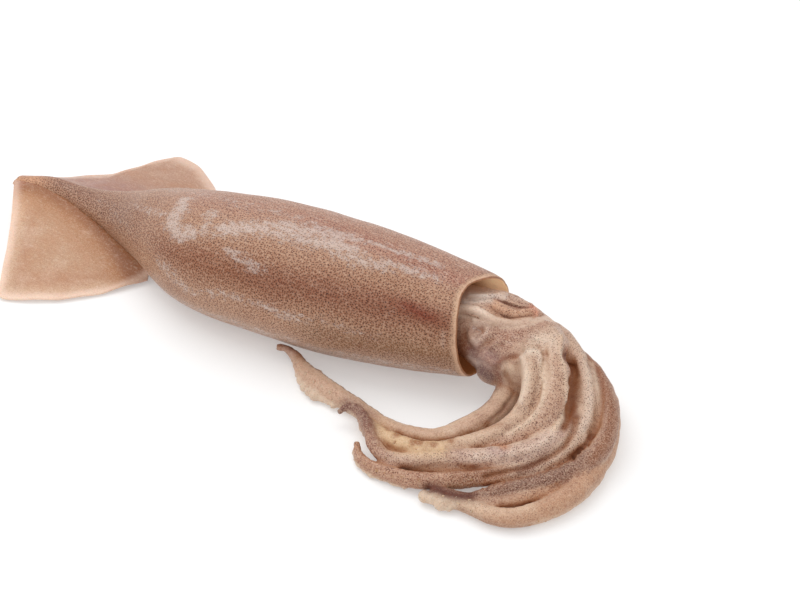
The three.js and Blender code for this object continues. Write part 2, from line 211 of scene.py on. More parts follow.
# %% [markdown]
# ## The mantle
# The mantle is a muscular tube, blunt at the mouth and drawn out to a low ridge at the tail. It
# lies on its back, so its underside is a little flat. It could be a subdivided cage, but a sock of
# ovals keeps to the solid exactly, and leaves enough points for dents and slack folds.

# %% The mantle's stations
# x, y of the axis, lift of the underside, half height, width over height
MANTLE_STATIONS = [
    (TAIL_X, 5.0, 8.6, 1.8, 1.5),
    (-151, 8.0, 8.4, 3.6, 1.35),
    (-127, 7.0, 7.0, 5.6, 1.3),
    (-103, 5.0, 4.0, 10.4, 1.25),
    (-79, 0.5, 2.0, 17.2, 1.2),
    (-43, -7.5, -0.8, 25.6, 1.14),
    (-7, -6.0, -1.6, 28.8, 1.1),
    (41, -0.5, -1.2, 28.4, 1.08),
    (MOUTH_X, 8.3, 4.2, 21.8, 1.06),
]
RIM_LEAN, RIM_LEAN_LENGTH = 2.4, 50
RIM_BUMPS = [(-4.2, 106, 30), (2.4, 202, 42)]  # reach in millimetres, place and width in degrees
POCKET_DEPTH = 42
WALL = 3.0
MANTLE_SIDES = 128
TABLE_GAP = 0.05


def mantle_oval(x):
    """Middle y, middle z, half width and half height of the mantle at each x."""
    _, y, lift, half, ratio = smooth_row(MANTLE_STATIONS, x).T
    return y, lift + half, half * ratio, half


# Turns are in degrees round the section: 0 far side, 90 top, 180 near side, 270 underneath.
def rim_reach(turn):
    """How far the rim stands out along the mantle: less over the funnel, more beside the near eye."""
    reach = -RIM_LEAN / 2 * np.sin(np.radians(turn))
    for out, place, width in RIM_BUMPS:
        reach = reach + out * np.exp(-(((turn - place + 180) % 360 - 180) / width) ** 2)
    return reach


def mantle_rings(x, inset):
    """One ring of points at each x, set in from the outside by the inset."""
    x, inset = np.asarray(x, float), np.asarray(inset, float)
    y, z, wide, high = mantle_oval(x)
    turn = (np.arange(MANTLE_SIDES) * 360 / MANTLE_SIDES)[None, :]
    round_ = np.radians(turn)
    points = np.empty((len(x), MANTLE_SIDES, 3))
    near_rim = smoothstep(MOUTH_X - RIM_LEAN_LENGTH, MOUTH_X, x)[:, None]
    points[..., 0] = x[:, None] + near_rim * rim_reach(turn)
    points[..., 1] = y[:, None] + (wide - inset)[:, None] * np.cos(round_)
    lift = z[:, None] + (high - inset)[:, None] * np.sin(round_)
    points[..., 2] = np.maximum(inset[:, None] + TABLE_GAP, lift)
    return points


# %% Knit the tube, its lip and its inner wall
outside_x = np.arange(TAIL_X + 0.3, MOUTH_X - 2.2, 1.0)
lip_turn = np.radians(np.linspace(-90, 90, 11))
LIP = 0.72
lip_x = MOUTH_X - LIP - 0.3 + LIP * np.cos(lip_turn)
lip_inset = 0.5 + LIP + LIP * np.sin(lip_turn)
inside_x = np.concatenate([
    np.arange(MOUTH_X - 2.6, MOUTH_X - 14, -1.2),
    np.arange(MOUTH_X - 15, MOUTH_X - POCKET_DEPTH, -2.4),
])
inside_inset = WALL - (WALL - 1.94) * smoothstep(MOUTH_X - 12, MOUTH_X - 1, inside_x)
outside_inset = 0.5 * smoothstep(MOUTH_X - 5, MOUTH_X - 2, outside_x)
rings = np.concatenate([
    mantle_rings(outside_x, outside_inset),
    mantle_rings(lip_x, lip_inset),
    mantle_rings(inside_x, inside_inset),
])
bm = bmesh.new()
knit_sock(bm, rings)
mantle_tube = piece_from(bm, "mantle_tube")


# %% [markdown]
# Dead muscle is slack. Broad shallow dents run over the tube, fine folds run lengthwise where the
# skin has slipped, and the lip is a little uneven. These are moved into the points, because a bump
# map alone would leave the outline too clean.

# %% Where each point of the tube is
def mantle_turn(points):
    """Turn in degrees round the section, for points near the tube."""
    y, z, wide, high = mantle_oval(points[:, 0])
    return np.degrees(np.arctan2((points[:, 2] - z) / high, (points[:, 1] - y) / wide)) % 360


def outward_of(mesh):
    flat = np.empty(len(mesh.vertices) * 3, np.float32)
    mesh.vertices.foreach_get("normal", flat)
    return flat.reshape(-1, 3).astype(float)


def set_points(mesh, points):
    mesh.vertices.foreach_set("co", points.astype(np.float32).ravel())
    mesh.update()


# %% Slack the tube
points, outward = mesh_points(mantle_tube.data), outward_of(mantle_tube.data)
turn = mantle_turn(points)
x = points[:, 0]
ring_of = np.arange(len(points)) // MANTLE_SIDES
inner = ring_of > len(outside_x) + 5
dents = 0.50 * wobble(points * (0.5, 1, 1), 24, 3.1) + 0.24 * wobble(points * (0.6, 1, 1), 8, 5.2)
folds = wobble(points * (0.16, 1.0, 1.0), 2.2, 8.4) + 0.6 * wobble(points * (0.3, 1, 1), 1.6, 2.4)
top_folds = np.exp(-((turn - 98) / 24) ** 2) * smoothstep(-20, 40, x)
slack = dents + (0.09 + 0.26 * top_folds) * folds
SLIPPED_SKIN = [
    (5, -4, 56.4), (20.5, -3.9, 56.4), (31.3, -3.3, 56.1), (43.6, -0.6, 55.1), (54.7, 1.6, 53.6),
    (66, 4.9, 51.5),
]
slack += 0.45 * near_line(points, np.array(SLIPPED_SKIN) + (0, -1.5, 0.2), 1.6)
slack -= 0.75 * near_line(points, SLIPPED_SKIN, 0.9)
slack += 0.30 * np.exp(-((x - rim_reach(turn) - MOUTH_X + 2.0) / 1.4) ** 2)
slack *= smoothstep(TAIL_X, TAIL_X + 25, x) * (1 - 0.4 * smoothstep(MOUTH_X - 3, MOUTH_X, x))
slack[inner] *= 0.4
slack -= 0.35
points += outward * slack[:, None] * np.where(inner, 0.5, 1.0)[:, None]
at_rim = smoothstep(MOUTH_X - 5, MOUTH_X, x - rim_reach(turn))
points[:, 0] += at_rim * (0.40 * wobble(points, 6, 1.3) + 0.22 * wobble(points, 2.6, 4.3) - 0.3)
points[:, 2] = np.maximum(points[:, 2], TABLE_GAP)
set_points(mantle_tube.data, points)
print("mantle slack, mm:", round(float(slack.min()), 2), "to", round(float(slack.max()), 2))

# %% [markdown]
# ## The fins
# A fin is a soft flap that leaves the underside of the tail, droops to the ground and thins to its
# edge. It is one more sock, drawn flat: each ring runs out over the top, round the edge and back
# underneath. Its rings are spaced along the edge, so that a steep stretch gets as many as a level
# one. A flat sheet with a Solidify modifier would do for a stiff flap, but a fin is thick at its
# root and thin at its edge.

# %% The fins' edges
NEAR_FIN_EDGE = [
    (TAIL_X, 2.5, 10.0), (-154, -14.5, 8.0), (-139, -35, 4.5), (-120, -63, 1.2), (-117, -63.5, 1.0),
    (-108, -59, 1.0), (-95, -50, 1.0), (-83, -36, 1.2), (-72, -17, 2.0),
]
FAR_FIN_EDGE = [
    (TAIL_X, 7.5, 10.0), (-154, 20, 8.0), (-138, 39, 5.0), (-133, 62, 2.5), (-127, 74, 1.4),
    (-112, 72, 1.0), (-94, 61, 1.0), (-83, 46, 1.2), (-71, 15, 2.0),
]
FIN_ROOT_THICKNESS, FIN_EDGE_THICKNESS = 3.4, 1.0
FIN_STEPS = 34


def fin_edge_line(corners, spacing, rounding):
    """The edge as evenly spaced points, with its corners rounded off."""
    corners = np.asarray(corners, float)
    length = np.concatenate([[0], np.cumsum(np.linalg.norm(np.diff(corners, axis=0), axis=1))])
    fine = np.arange(0, length[-1], 0.5)
    line = np.stack([np.interp(fine, length, corners[:, k]) for k in range(3)], 1)
    window = int(rounding / 0.5) | 1
    padded = np.concatenate([2 * line[0] - line[window:0:-1], line, 2 * line[-1] - line[-2:-window - 2:-1]])
    bell = np.hanning(window + 2)
    bell = bell[1:-1] / bell.sum()
    soft = np.stack([np.convolve(padded[:, k], bell, "same") for k in range(3)], 1)[window:-window]
    step = int(spacing / 0.5)
    return soft[::step], fine[::step]


def fin_rings(corners, side, seed):
    """Flat rings from the mantle to the fin's edge. Side is -1 for the near fin and 1 for the far."""
    edge, length = fin_edge_line(corners, 1.0, 9)
    end = corners[-1][0]
    y, z, wide, high = mantle_oval(edge[:, 0])
    along = (edge[:, 0] - TAIL_X) / (end - TAIL_X)
    root_turn = np.radians(-5 - 45 * along)
    root_y = y + side * wide * np.cos(root_turn)
    root_z = np.maximum(FIN_ROOT_THICKNESS / 2, z + high * np.sin(root_turn))
    reach = np.maximum(0.8, side * (edge[:, 1] - root_y))
    thick = np.minimum(FIN_ROOT_THICKNESS, high)
    wave = 0.7 * np.sin(length / 7.5 + seed) + 0.4 * np.sin(length / 3.1 + 2 * seed)
    t = np.linspace(0, 1, FIN_STEPS + 1)[None, :]
    level = edge[:, 2:3] + (root_z - edge[:, 2])[:, None] * (1 - t) ** 1.5
    level = level + (wave[:, None] * 0.45 + 0.45) * t ** 4 * smoothstep(3, 12, reach)[:, None]
    half = (thick[:, None] * (1 - t) + FIN_EDGE_THICKNESS * t) / 2
    far = root_y[:, None] + side * reach[:, None] * t
    rings = []
    for k in range(len(edge)):
        top = [(edge[k, 0], y[k], root_z[k] + thick[k] / 2)]
        low = [(edge[k, 0], y[k], root_z[k] - thick[k] / 2)]
        top += [(edge[k, 0], far[k, m], level[k, m] + half[k, m]) for m in range(FIN_STEPS + 1)]
        low += [(edge[k, 0], far[k, m], level[k, m] - half[k, m]) for m in range(FIN_STEPS + 1)]
        round_edge = []
        for a in np.radians((45, 0, -45)):
            out, rise = half[k, -1] * math.cos(a), half[k, -1] * math.sin(a)
            round_edge.append((edge[k, 0], far[k, -1] + side * out, level[k, -1] + rise))
        rings.append(top + round_edge + low[::-1])
    rings = np.array(rings)
    rings[..., 2] = np.maximum(rings[..., 2], TABLE_GAP)
    return rings


# %% Knit the fins
bm = bmesh.new()
knit_sock(bm, fin_rings(NEAR_FIN_EDGE, -1, 0.4))
knit_sock(bm, fin_rings(FAR_FIN_EDGE, 1, 2.1))
fins = piece_from(bm, "fins")

# %% [markdown]
# ## The head and the ten limbs
# Eight arms and two tentacles leave the head and fall in a heap that curls back beside the mantle.
# Each limb is a sock along a soft route. A keel, a flat or a swelling is a change of its radius
# round the section. The same routes are in the solids. A curve with a bevel would give round arms
# only, and an arm is anything but round.

# %% The limbs
# Root and tip radius, how late it tapers, the club's swelling, keels as (turn, height, width) and
# the route. A limb's turns are from straight up, positive to its left.
LIMBS = {
    "near_tentacle": dict(root=6.4, tip=1, taper=0.95, club=2.0, keels=[(-60, 0.10, 30)], route=[
        (105, 9, 18), (110, 0, 13.5), (113.7, -12, 10), (112.7, -24, 8.4), (108.4, -33.8, 7.2),
        (101.2, -44, 5.5), (90, -47.3, 4.8), (79, -47.6, 4.3), (69, -45.4, 4.1), (61, -43, 4), (53, -42, 4),
        (35, -38, 4.2), (26, -34, 4.4), (18, -29, 5), (13, -28, 5.6), (10, -30, 6)]),
    "inner_arm": dict(root=5.3, tip=1.4, taper=1.5, club=1.2, keels=[(-25, 0.06, 25), (100, 0.12, 22)], route=[
        (117, 2, 30), (122.5, -6, 28.5), (125.5, -10.3, 26.5), (128.8, -16.2, 22.4), (129.4, -22, 18.6),
        (127.8, -28, 15), (123.8, -34.4, 11.8), (118.4, -40.6, 9.6), (112.8, -46.2, 8.2), (107, -51.5, 7.3),
        (98, -55.6, 6.8), (86.5, -56.4, 6.6), (75.6, -53.4, 6.4), (66.6, -47.6, 6)]),
    "keeled_arm": dict(root=5.9, tip=0.8, taper=1.9, club=0, keels=[(88, 0.16, 20), (-20, 0.06, 30)], route=[
        (115, 15, 29), (124, 7, 29.5), (131, -3.3, 28.5), (136.3, -11, 25.5), (138, -17.5, 21.5),
        (137.2, -24, 17), (133.5, -30, 13), (127.5, -36.5, 9.5), (120, -43, 6.8), (111, -48, 5),
        (101, -50.5, 4), (92, -50, 3.4)]),
    "covered_arm": dict(root=5.4, tip=1.1, taper=1.8, club=0, keels=[(-35, 0.08, 30)], route=[
        (119, 18, 20), (131, 6, 19.5), (138.6, -5, 18.2), (143.8, -14, 16.4), (145.8, -23.6, 14.5),
        (143, -33, 13), (137.4, -40, 11.6), (131.3, -44.7, 10), (124.4, -48.7, 9), (117.2, -52.1, 8.2),
        (110.5, -56.3, 7.6), (103.5, -60.2, 6.8), (96.7, -64.3, 6.2), (90.3, -65.5, 6.4),
        (83.9, -63.3, 7.4), (77.5, -58.2, 8.4), (71.2, -52, 8.8), (65.1, -49, 8.8), (60, -49.6, 8),
        (58.5, -53.1, 6.5)]),
    "ridge_arm": dict(root=4.9, tip=1, taper=1.5, club=0.9, keels=[(96, 0.12, 22), (-10, 0.10, 24)], route=[
        (114, 22, 25), (124, 18, 24), (132, 11.6, 22.5), (139, 5.2, 20.5), (145, -2.8, 18.2),
        (149.6, -10.8, 15.4), (151.2, -21, 12.8), (149.5, -30.5, 10.6), (146, -38.5, 9),
        (140.4, -45.4, 7.8), (132.5, -52.5, 6.6), (120.6, -61.7, 5.2), (109, -68.4, 4.4),
        (100.9, -70.6, 4.2), (92.7, -71.3, 4), (85, -70.6, 3.8), (78.6, -67, 3.4), (74, -61.9, 3.6)]),
    "outer_arm": dict(root=5.2, tip=1.3, taper=2.2, club=0, keels=[(80, 0.1, 30)], route=[
        (117, 19, 20), (134, 15, 19), (148, 6, 16), (157, -6, 13), (161, -19, 10.5), (159, -32, 8.5),
        (153, -43, 7), (143.9, -53.1, 6), (136.8, -59.4, 5), (133.1, -63.7, 4.2), (129.8, -67.3, 4.4),
        (125.5, -68.5, 5), (120.7, -69.1, 5), (115.7, -70.8, 4.6)]),
    "folded_arm": dict(root=5.0, tip=1.4, taper=2.6, club=0, keels=[], route=[
        (119, 14, 14), (135, 11, 11), (145, 3, 8.5), (151, -7, 7.2), (153.4, -17, 6.4), (153, -27.4, 5.8),
        (150.6, -36.8, 5.2), (146, -45, 4.8), (140, -51.8, 4.4), (135.5, -55.4, 4)]),
    "low_arm": dict(root=5.2, tip=1.6, taper=3.2, club=0, keels=[(60, 0.1, 30)], route=[
        (117, 16, 12), (129, 19.5, 10), (139.6, 18.4, 8.4), (147.6, 11, 7), (154, 0.8, 5.8),
        (158.6, -8.6, 5.2), (161.4, -18.6, 4.9), (163.2, -29.4, 4.8), (163.4, -40.3, 4.7),
        (160.9, -51, 4.5), (156.2, -60.6, 4.2), (150, -67.3, 4.1), (142.5, -69.9, 3.9), (133.4, -70, 3.7),
        (127.2, -70.5, 3.4), (122.2, -72.1, 3.2), (114.1, -75.5, 3)]),
    "under_arm": dict(root=5.2, tip=1.6, taper=2.0, club=0, keels=[], route=[
        (116, 6, 12), (131, 8, 11), (139, -1, 9.5), (143.6, -12, 7.8), (145, -23, 6.4), (142.3, -32.1, 5.4),
        (137.3, -40.6, 4.8), (131.1, -48, 4.4), (122.8, -53.3, 4), (111.7, -58.9, 3.8), (100.9, -63.4, 3.4),
        (91.5, -65.3, 3.2)]),
    "under_tentacle": dict(root=4.8, tip=1.4, taper=2.6, club=0, keels=[(70, 0.08, 30)], route=[
        (118, 10, 10), (133, 12, 9.5), (144, 7, 8), (151, -1, 6.6), (155.6, -11, 5.8), (158, -21, 5.4),
        (158, -31.6, 5), (155.8, -41.4, 4.8), (151.6, -50.6, 4.6), (146.6, -57.8, 4.4), (140.4, -63.4, 4.1),
        (133, -67.6, 3.7), (124.4, -70.6, 3)]),
}
CLUB_PLACE, CLUB_LENGTH = 0.8, 0.13


# %% A limb's route, radius and rings
def soft_route(corners, spacing):
    """Evenly spaced points along a centripetal curve through the corners, and its length."""
    p = np.asarray(corners, float)
    p = np.concatenate([[2 * p[0] - p[1]], p, [2 * p[-1] - p[-2]]])
    fine = []
    for k in range(1, len(p) - 2):
        stride = np.linalg.norm(np.diff(p[k - 1:k + 3], axis=0), axis=1)
        knot = np.concatenate([[0], np.cumsum(stride ** 0.5)])
        for t in np.linspace(knot[1], knot[2], 24, endpoint=False):
            a = []
            for j in range(3):
                share = (t - knot[j]) / (knot[j + 1] - knot[j])
                a.append(p[k - 1 + j] + share * (p[k + j] - p[k - 1 + j]))
            b = [a[j] + (t - knot[j]) / (knot[j + 2] - knot[j]) * (a[j + 1] - a[j]) for j in range(2)]
            fine.append(b[0] + (t - knot[1]) / (knot[2] - knot[1]) * (b[1] - b[0]))
    fine = np.array(fine + [p[-2]])
    length = np.concatenate([[0], np.cumsum(np.linalg.norm(np.diff(fine, axis=0), axis=1))])
    even = np.linspace(0, length[-1], int(round(length[-1] / spacing)) + 1)
    return np.stack([np.interp(even, length, fine[:, k]) for k in range(3)], 1), length[-1]


def limb_radius(limb, s):
    """The radius at a share s of the limb's length."""
    club = limb["club"] * np.exp(-(((s - CLUB_PLACE) / CLUB_LENGTH) ** 2))
    return limb["tip"] + (limb["root"] - limb["tip"]) * (1 - s ** limb["taper"]) + club


def limb_frame(centres):
    """Unit vectors ahead, to the left and up at each centre."""
    ahead = np.gradient(centres, axis=0)
    ahead /= np.linalg.norm(ahead, axis=1)[:, None]
    left = np.cross((0, 0, 1), ahead)
    left /= np.linalg.norm(left, axis=1)[:, None]
    return ahead, left, np.cross(ahead, left)


FUSE_LOSS = 0.22  # fusing and smoothing thin a limb by this much


def limb_rings(limb, sides=28, spacing=1.0):
    """The rings of one limb, and the share of its length and the turn of their points."""
    centres, _ = soft_route(limb["route"], spacing)
    s = np.linspace(0, 1, len(centres))
    radius = np.minimum(limb_radius(limb, s), centres[:, 2] - TABLE_GAP)
    _, left, up = limb_frame(centres)
    turn = np.linspace(-180, 180, sides, endpoint=False)
    shape = np.ones(sides)
    for place, height, width in limb["keels"]:
        away = (turn - place + 180) % 360 - 180
        shape += height * np.exp(-(away / width) ** 2)
    shape = shape[None, :] * (radius[:, None] + FUSE_LOSS)
    sideways = np.sin(np.radians(turn))[None, :, None] * left[:, None, :]
    upward = np.cos(np.radians(turn))[None, :, None] * up[:, None, :]
    rings = centres[:, None, :] + shape[..., None] * (sideways + upward)
    rings[..., 2] = np.maximum(rings[..., 2], TABLE_GAP)
    return rings, s, turn


# %% [markdown]
# The head is a short block with a bulging eye on each side. A thick fold of skin runs round the
# foot of the funnel, and two smaller folds hang by the near eye. They are socks as well.

# %% The head's stations and folds
HEAD_STATIONS = [
    (52, 9.0, 25.5, 12.0, 11.0), (70, 9.0, 25.0, 14.0, 12.8), (84, 9.0, 24.6, 14.6, 13.4),
    (92, 9.3, 22.8, 16.6, 14.0), (101, 10.5, 20.6, 19.6, 15.6), (110, 10.0, 20.4, 19.4, 15.4),
    (118, 8.0, 20.8, 17.3, 14.4), (125, 5.5, 21.0, 13.0, 11.5), (129, 4.0, 20.5, 6.5, 6.0),
]
EYES = [(102.2, -1.5, 17.6), (103.5, 22.0, 17.6)]
EYE_RADIUS = 8.8
SKIN_FOLDS = {
    "funnel_fold": dict(root=1.9, tip=1.3, taper=3, club=0, keels=[], route=[
        (80, -0.5, 36.2), (86, 1.6, 37.2), (91, 2.4, 37.4), (96.3, 2.2, 36.5), (101, 3.3, 35.6),
        (106.5, 6, 35), (110.8, 10.6, 34.5), (113.4, 16, 33.2), (114.2, 21, 31)]),
    "eye_fold": dict(root=0.7, tip=0.5, taper=3, club=0, keels=[], route=[
        (91.5, -5.9, 28.6), (94, -6.6, 27.6), (96.6, -6.9, 27.4), (97.6, -5.6, 29.4), (98.4, -3.6, 31.4),
        (101, 0.4, 34)]),
    "cheek_fold": dict(root=1.5, tip=0.9, taper=2, club=0, keels=[], route=[
        (90.5, -4.6, 30.6), (92.2, -2.6, 31.9), (93.2, -0.6, 33.2), (96, 0.2, 33.8)]),
    "lid_fold": dict(root=0.7, tip=0.4, taper=2, club=0, keels=[], route=[
        (95.5, -7.2, 24.5), (99.5, -8.2, 24.4), (103.5, -8.6, 24.2), (107.2, -8.6, 24.8),
        (110.4, -6.6, 28.4)]),
}


def oval_rings(stations, from_x, to_x, spacing, sides, grow=0.0):
    """Rings of ovals from one x to another, read from a table of stations."""
    x = np.linspace(from_x, to_x, int(abs(to_x - from_x) / spacing) + 1)
    _, y, z, wide, high = smooth_row(stations, x).T
    turn = np.radians(np.arange(sides) * 360 / sides)
    rings = np.empty((len(x), sides, 3))
    rings[..., 0] = x[:, None]
    rings[..., 1] = y[:, None] + (wide + grow)[:, None] * np.cos(turn)
    rings[..., 2] = z[:, None] + (high + grow)[:, None] * np.sin(turn)
    return rings


# %% [markdown]
# The clubs and the tips carry soft suckers, so swollen with water that they run into each other.
# These are balls that are fused with the arms. Each has its place and its radius. Two tips carry
# a whole fringe of small ones, placed closely along a line.

# %% Swollen suckers
SWOLLEN = [
    (25.0, -34.6, 3.0, 1.5), (27.0, -37.0, 2.8, 1.9), (30.0, -39.6, 2.6, 2.2), (33.7, -42.2, 2.5, 2.4),
    (37.2, -43.8, 2.6, 2.3), (40.6, -44.6, 2.6, 2.6), (44.2, -43.9, 2.4, 2.2), (47.4, -44.6, 2.3, 1.7),
    (50.6, -45.6, 2.2, 1.5), (34.5, -33.4, 4.0, 2.0), (114.6, -73.9, 3.1, 2.7), (118.4, -74.2, 3.6, 2.2),
    (122.6, -74.3, 2.9, 2.7), (124.2, -72.2, 3.9, 2.0), (128.0, -71.4, 3.9, 2.0), (126.2, -73.9, 2.4, 1.6),
    (132.4, -69.9, 3.8, 1.7), (136.4, -70.6, 3.2, 1.5),
]
FRINGES = [
    [(61.8, -50.6, 7.0), (65.6, -51.0, 7.2), (69.6, -53.2, 7.0), (73.0, -56.6, 6.8), (76.4, -60.2, 6.0)],
    [(74.6, -64.6, 2.0), (77.4, -68.0, 1.8), (80.8, -70.8, 1.7), (84.6, -72.6, 1.6), (89.0, -73.4, 1.5),
     (96.9, -73.0, 1.5), (105.6, -71.8, 1.7)],
]
FRINGE_SPACING = 1.5
random.seed(5)
for fringe in FRINGES:
    for (x0, y0, z0), (x1, y1, z1) in zip(fringe, fringe[1:]):
        steps = max(1, round(math.dist((x0, y0, z0), (x1, y1, z1)) / FRINGE_SPACING))
        for k in range(steps):
            share, sway = k / steps, random.uniform(-0.25, 0.25)
            x, y = x0 + share * (x1 - x0) + sway, y0 + share * (y1 - y0) + sway
            SWOLLEN.append((x, y, z0 + share * (z1 - z0), random.uniform(0.85, 1.2)))
print("swollen suckers:", len(SWOLLEN))

# %% [markdown]
# All these socks go into one bmesh and are fused by a voxel remesh, which makes the arms grow out
# of the head instead of piercing it. The voxel is small, so creases between the arms stay sharp.
# A few passes of smoothing then melt the joints at the crown, and only there.

# %% Fuse the head and the limbs
VOXEL = 0.72
bm = bmesh.new()
knit_sock(bm, oval_rings(HEAD_STATIONS, from_x=52, to_x=129, spacing=1.5, sides=72))
for eye in EYES:
    bmesh.ops.create_uvsphere(bm, u_segments=40, v_segments=24, radius=EYE_RADIUS,
                              matrix=Matrix.Translation(eye))
for *place, size in SWOLLEN:
    bmesh.ops.create_icosphere(bm, subdivisions=3, radius=size, matrix=Matrix.Translation(place))
SOCKS = {**LIMBS, **SKIN_FOLDS}
samples = []
for number, limb in enumerate(SOCKS.values()):
    rings, s, turn = limb_rings(limb)
    knit_sock(bm, rings)
    for k in range(len(rings)):
        samples += [(number, s[k], turn[m], rings[k, m]) for m in range(0, len(turn), 2)]
crown = piece_from(bm, "head_and_arms")
remesh = crown.modifiers.new("fuse", "REMESH")
remesh.mode = "VOXEL"
remesh.voxel_size = VOXEL
bpy.context.view_layer.update()
fused = bpy.data.meshes.new_from_object(crown.evaluated_get(bpy.context.evaluated_depsgraph_get()))
crown.modifiers.clear()
crown.data = fused
print("fused:", len(fused.vertices), "points,", len(fused.polygons), "faces")


# %% Melt the joints at the crown
def melt(mesh, passes, where=None, factor=0.5):
    """Smooths the points, or only those at the places asked for."""
    bm = bmesh.new()
    bm.from_mesh(mesh)
    verts = [v for v in bm.verts if where is None or where(v.co)]
    for _ in range(passes):
        bmesh.ops.smooth_vert(bm, verts=verts, factor=factor,
                              use_axis_x=True, use_axis_y=True, use_axis_z=True)
    bm.to_mesh(mesh)
    bm.free()


melt(crown.data, 2)
melt(crown.data, 3, where=lambda p: p.x < 117 and p.y > -4)
crown.data.shade_smooth()

# %% [markdown]
# The fused skin has forgotten which limb it was made from, and the paint needs to know. So every
# point looks up the nearest of the socks' own points, which know their limb, how far along it they
# are and their turn round it.

# %% Which limb each point of the fused skin belongs to
tree = KDTree(len(samples))
for k, sample in enumerate(samples):
    tree.insert(sample[3], k)
tree.balance()
points = mesh_points(crown.data)
nearest = np.array([tree.find(p)[1:] for p in points])
found = nearest[:, 0].astype(int)
crown_limb = np.array([samples[k][0] for k in found])
crown_s = np.array([samples[k][1] for k in found])
crown_turn = np.array([samples[k][2] for k in found])
on_limb = 1 - smoothstep(0.8, 3.0, nearest[:, 1])
on_limb[crown_limb >= len(LIMBS)] = 0
print("points on limbs:", int((on_limb > 0.5).sum()), "of", len(points))

# %% [markdown]
# The heap of arms is never as smooth as turned wood: the flesh has soft lumps, and wrinkles cross
# each arm on the inner side of a bend. They are small, so they are added after fusing.

# %% Lumps and wrinkles on the arms
outward = outward_of(crown.data)
lumps = 0.34 * wobble(points, 8, 4.4) + 0.20 * wobble(points, 3.6, 9.7) + 0.07 * wobble(points, 1.7, 6.6)
limb_length = np.array([soft_route(limb["route"], 1.0)[1] for limb in SOCKS.values()])
WRINKLE_SPACING = 3.4
along = crown_s * limb_length[crown_limb]
wrinkle = np.sin(along * 2 * np.pi / WRINKLE_SPACING + 2.2 * wobble(points, 6, 2.2))
lumps += 0.07 * wrinkle * on_limb * smoothstep(0.25, 0.6, crown_s)
print("lumps, mm:", round(float(lumps.min()), 2), "to", round(float(lumps.max()), 2))

# %% [markdown]
# Some forms of the heap are not noise: the edges of the flattened arms, the dark gaps between them
# and the folds of skin round the eye. Each is a short line of corners with a name, because the same
# line is raised or sunk here and painted further on. A sculpting brush would leave no such record.

# %% The lines of the heap
ARM_B_LEFT = [(117.7, -6.7, 31.3), (121.1, -10.7, 31.1), (124.7, -15.0, 29.3), (125.8, -18.1, 25.7),
              (127.4, -23.7, 22.9)]
ARM_B_TOP = [(117.7, -6.7, 31.3), (119.1, -6.1, 33.5), (120.9, -4.5, 34.3), (123.3, -3.7, 33.8),
             (125.6, -5.7, 32.0)]
ARM_B_RIGHT = [(125.6, -5.7, 32.0), (126.7, -7.6, 31.6), (132.5, -13.9, 27.9), (135.5, -20.3, 25.2),
               (135.5, -24.6, 21.9), (133.2, -29.7, 18.1), (129.0, -35.0, 14.7)]
ARM_W_RIGHT = [(125.6, 9.9, 34.6), (131.0, 0.7, 34.3), (136.8, -5.8, 31.7), (141.2, -11.4, 28.0),
               (143.6, -15.0, 23.3), (145.1, -20.4, 20.3), (144.8, -26.1, 18.9)]
WIDE_GAP = [(131.2, 5.3, 30.0), (133.2, 5.7, 25.0), (138.4, -1.5, 23.6), (142.5, -8.3, 22.6),
            (145.5, -14.8, 21.0), (147.8, -21.8, 19.4), (147.4, -28.7, 17.7)]
ARM_D_LEFT = [(138.6, 1.4, 23.9), (143.0, -4.3, 22.3), (147.0, -11.0, 20.2), (149.3, -19.6, 18.6),
              (149.9, -26.6, 16.4)]
ARM_D_RIGHT = [(134.5, 14.9, 25.0), (138.9, 14.0, 23.3), (144.1, 8.3, 21.9), (148.3, 2.8, 20.1),
               (152.7, -4.7, 17.6), (155.0, -13.2, 14.9), (155.5, -21.9, 12.8)]
OUTER_GAP = [(136.4, 15.0, 23.7), (141.8, 12.2, 22.6), (147.6, 5.6, 21.0), (152.1, -2.0, 18.6),
             (155.4, -10.7, 15.5), (156.1, -19.6, 11.5), (155.0, -28.6, 9.9)]
UNDER_GAP = [(148.3, -14.7, 19.1), (151.2, -21.2, 17.5), (151.4, -29.1, 14.7), (148.3, -37.6, 12.9),
             (144.0, -44.1, 11.3), (138.2, -49.6, 10.3), (131.2, -56.1, 8.5)]
FLANK_GAP = [(110.7, -8.8, 21.6), (116.6, -10.2, 14.7), (117.4, -19.2, 12.6), (115.8, -27.3, 11.0)]
FAR_FLANK = [(134.6, 18.1, 23.1), (143.4, 12.8, 21.9), (150.5, 5.4, 20.4), (157.0, -2.5, 18.0),
             (161.0, -9.3, 16.0), (163.4, -18.4, 13.8), (163.4, -27.1, 12.4)]
CROWN_CRACK = [(107.1, -7.8, 24.6), (110.0, -6.4, 27.4), (113.3, -5.6, 28.8), (117.3, -6.2, 31.9)]
# a flank with few dots and a painted sheen
UNDOTTED_SHEEN_BAND = [(104, -41, 10.6), (110, -44.4, 11.6), (116.0, -42.7, 13.0), (122.4, -35.0, 15.9),
               (127.2, -27.8, 20.3)]
GRAINY_STRIP = [(135.3, -62.6, 6.8), (142.9, -55.6, 8.5), (149.5, -48.5, 9.7), (155.9, -39.5, 11.6),
                (158.2, -28.0, 13.0)]
LOW_EDGE = [(124, -52, 12.4), (132.4, -46.4, 13.7), (139.1, -42.3, 15.0), (144.2, -35.7, 16.9),
            (145.7, -29.1, 18.2)]
ARM_B_FOOT = [(116.0, -8.6, 27.6), (118.4, -11.4, 24.6), (119.4, -14.6, 20.4), (118.4, -20.0, 15.0)]
ARM_B_HOLLOW = [(124.0, -7.6, 31.6), (128.6, -12.6, 29.0), (130.4, -17.2, 25.6), (131.6, -22.0, 22.0)]
ARM_W_HOLLOW = [(127.4, -4.4, 32.6), (132.4, -9.6, 30.2), (134.6, -14.4, 26.8), (136.0, -19.4, 23.6),
                (135.6, -24.4, 20.0)]
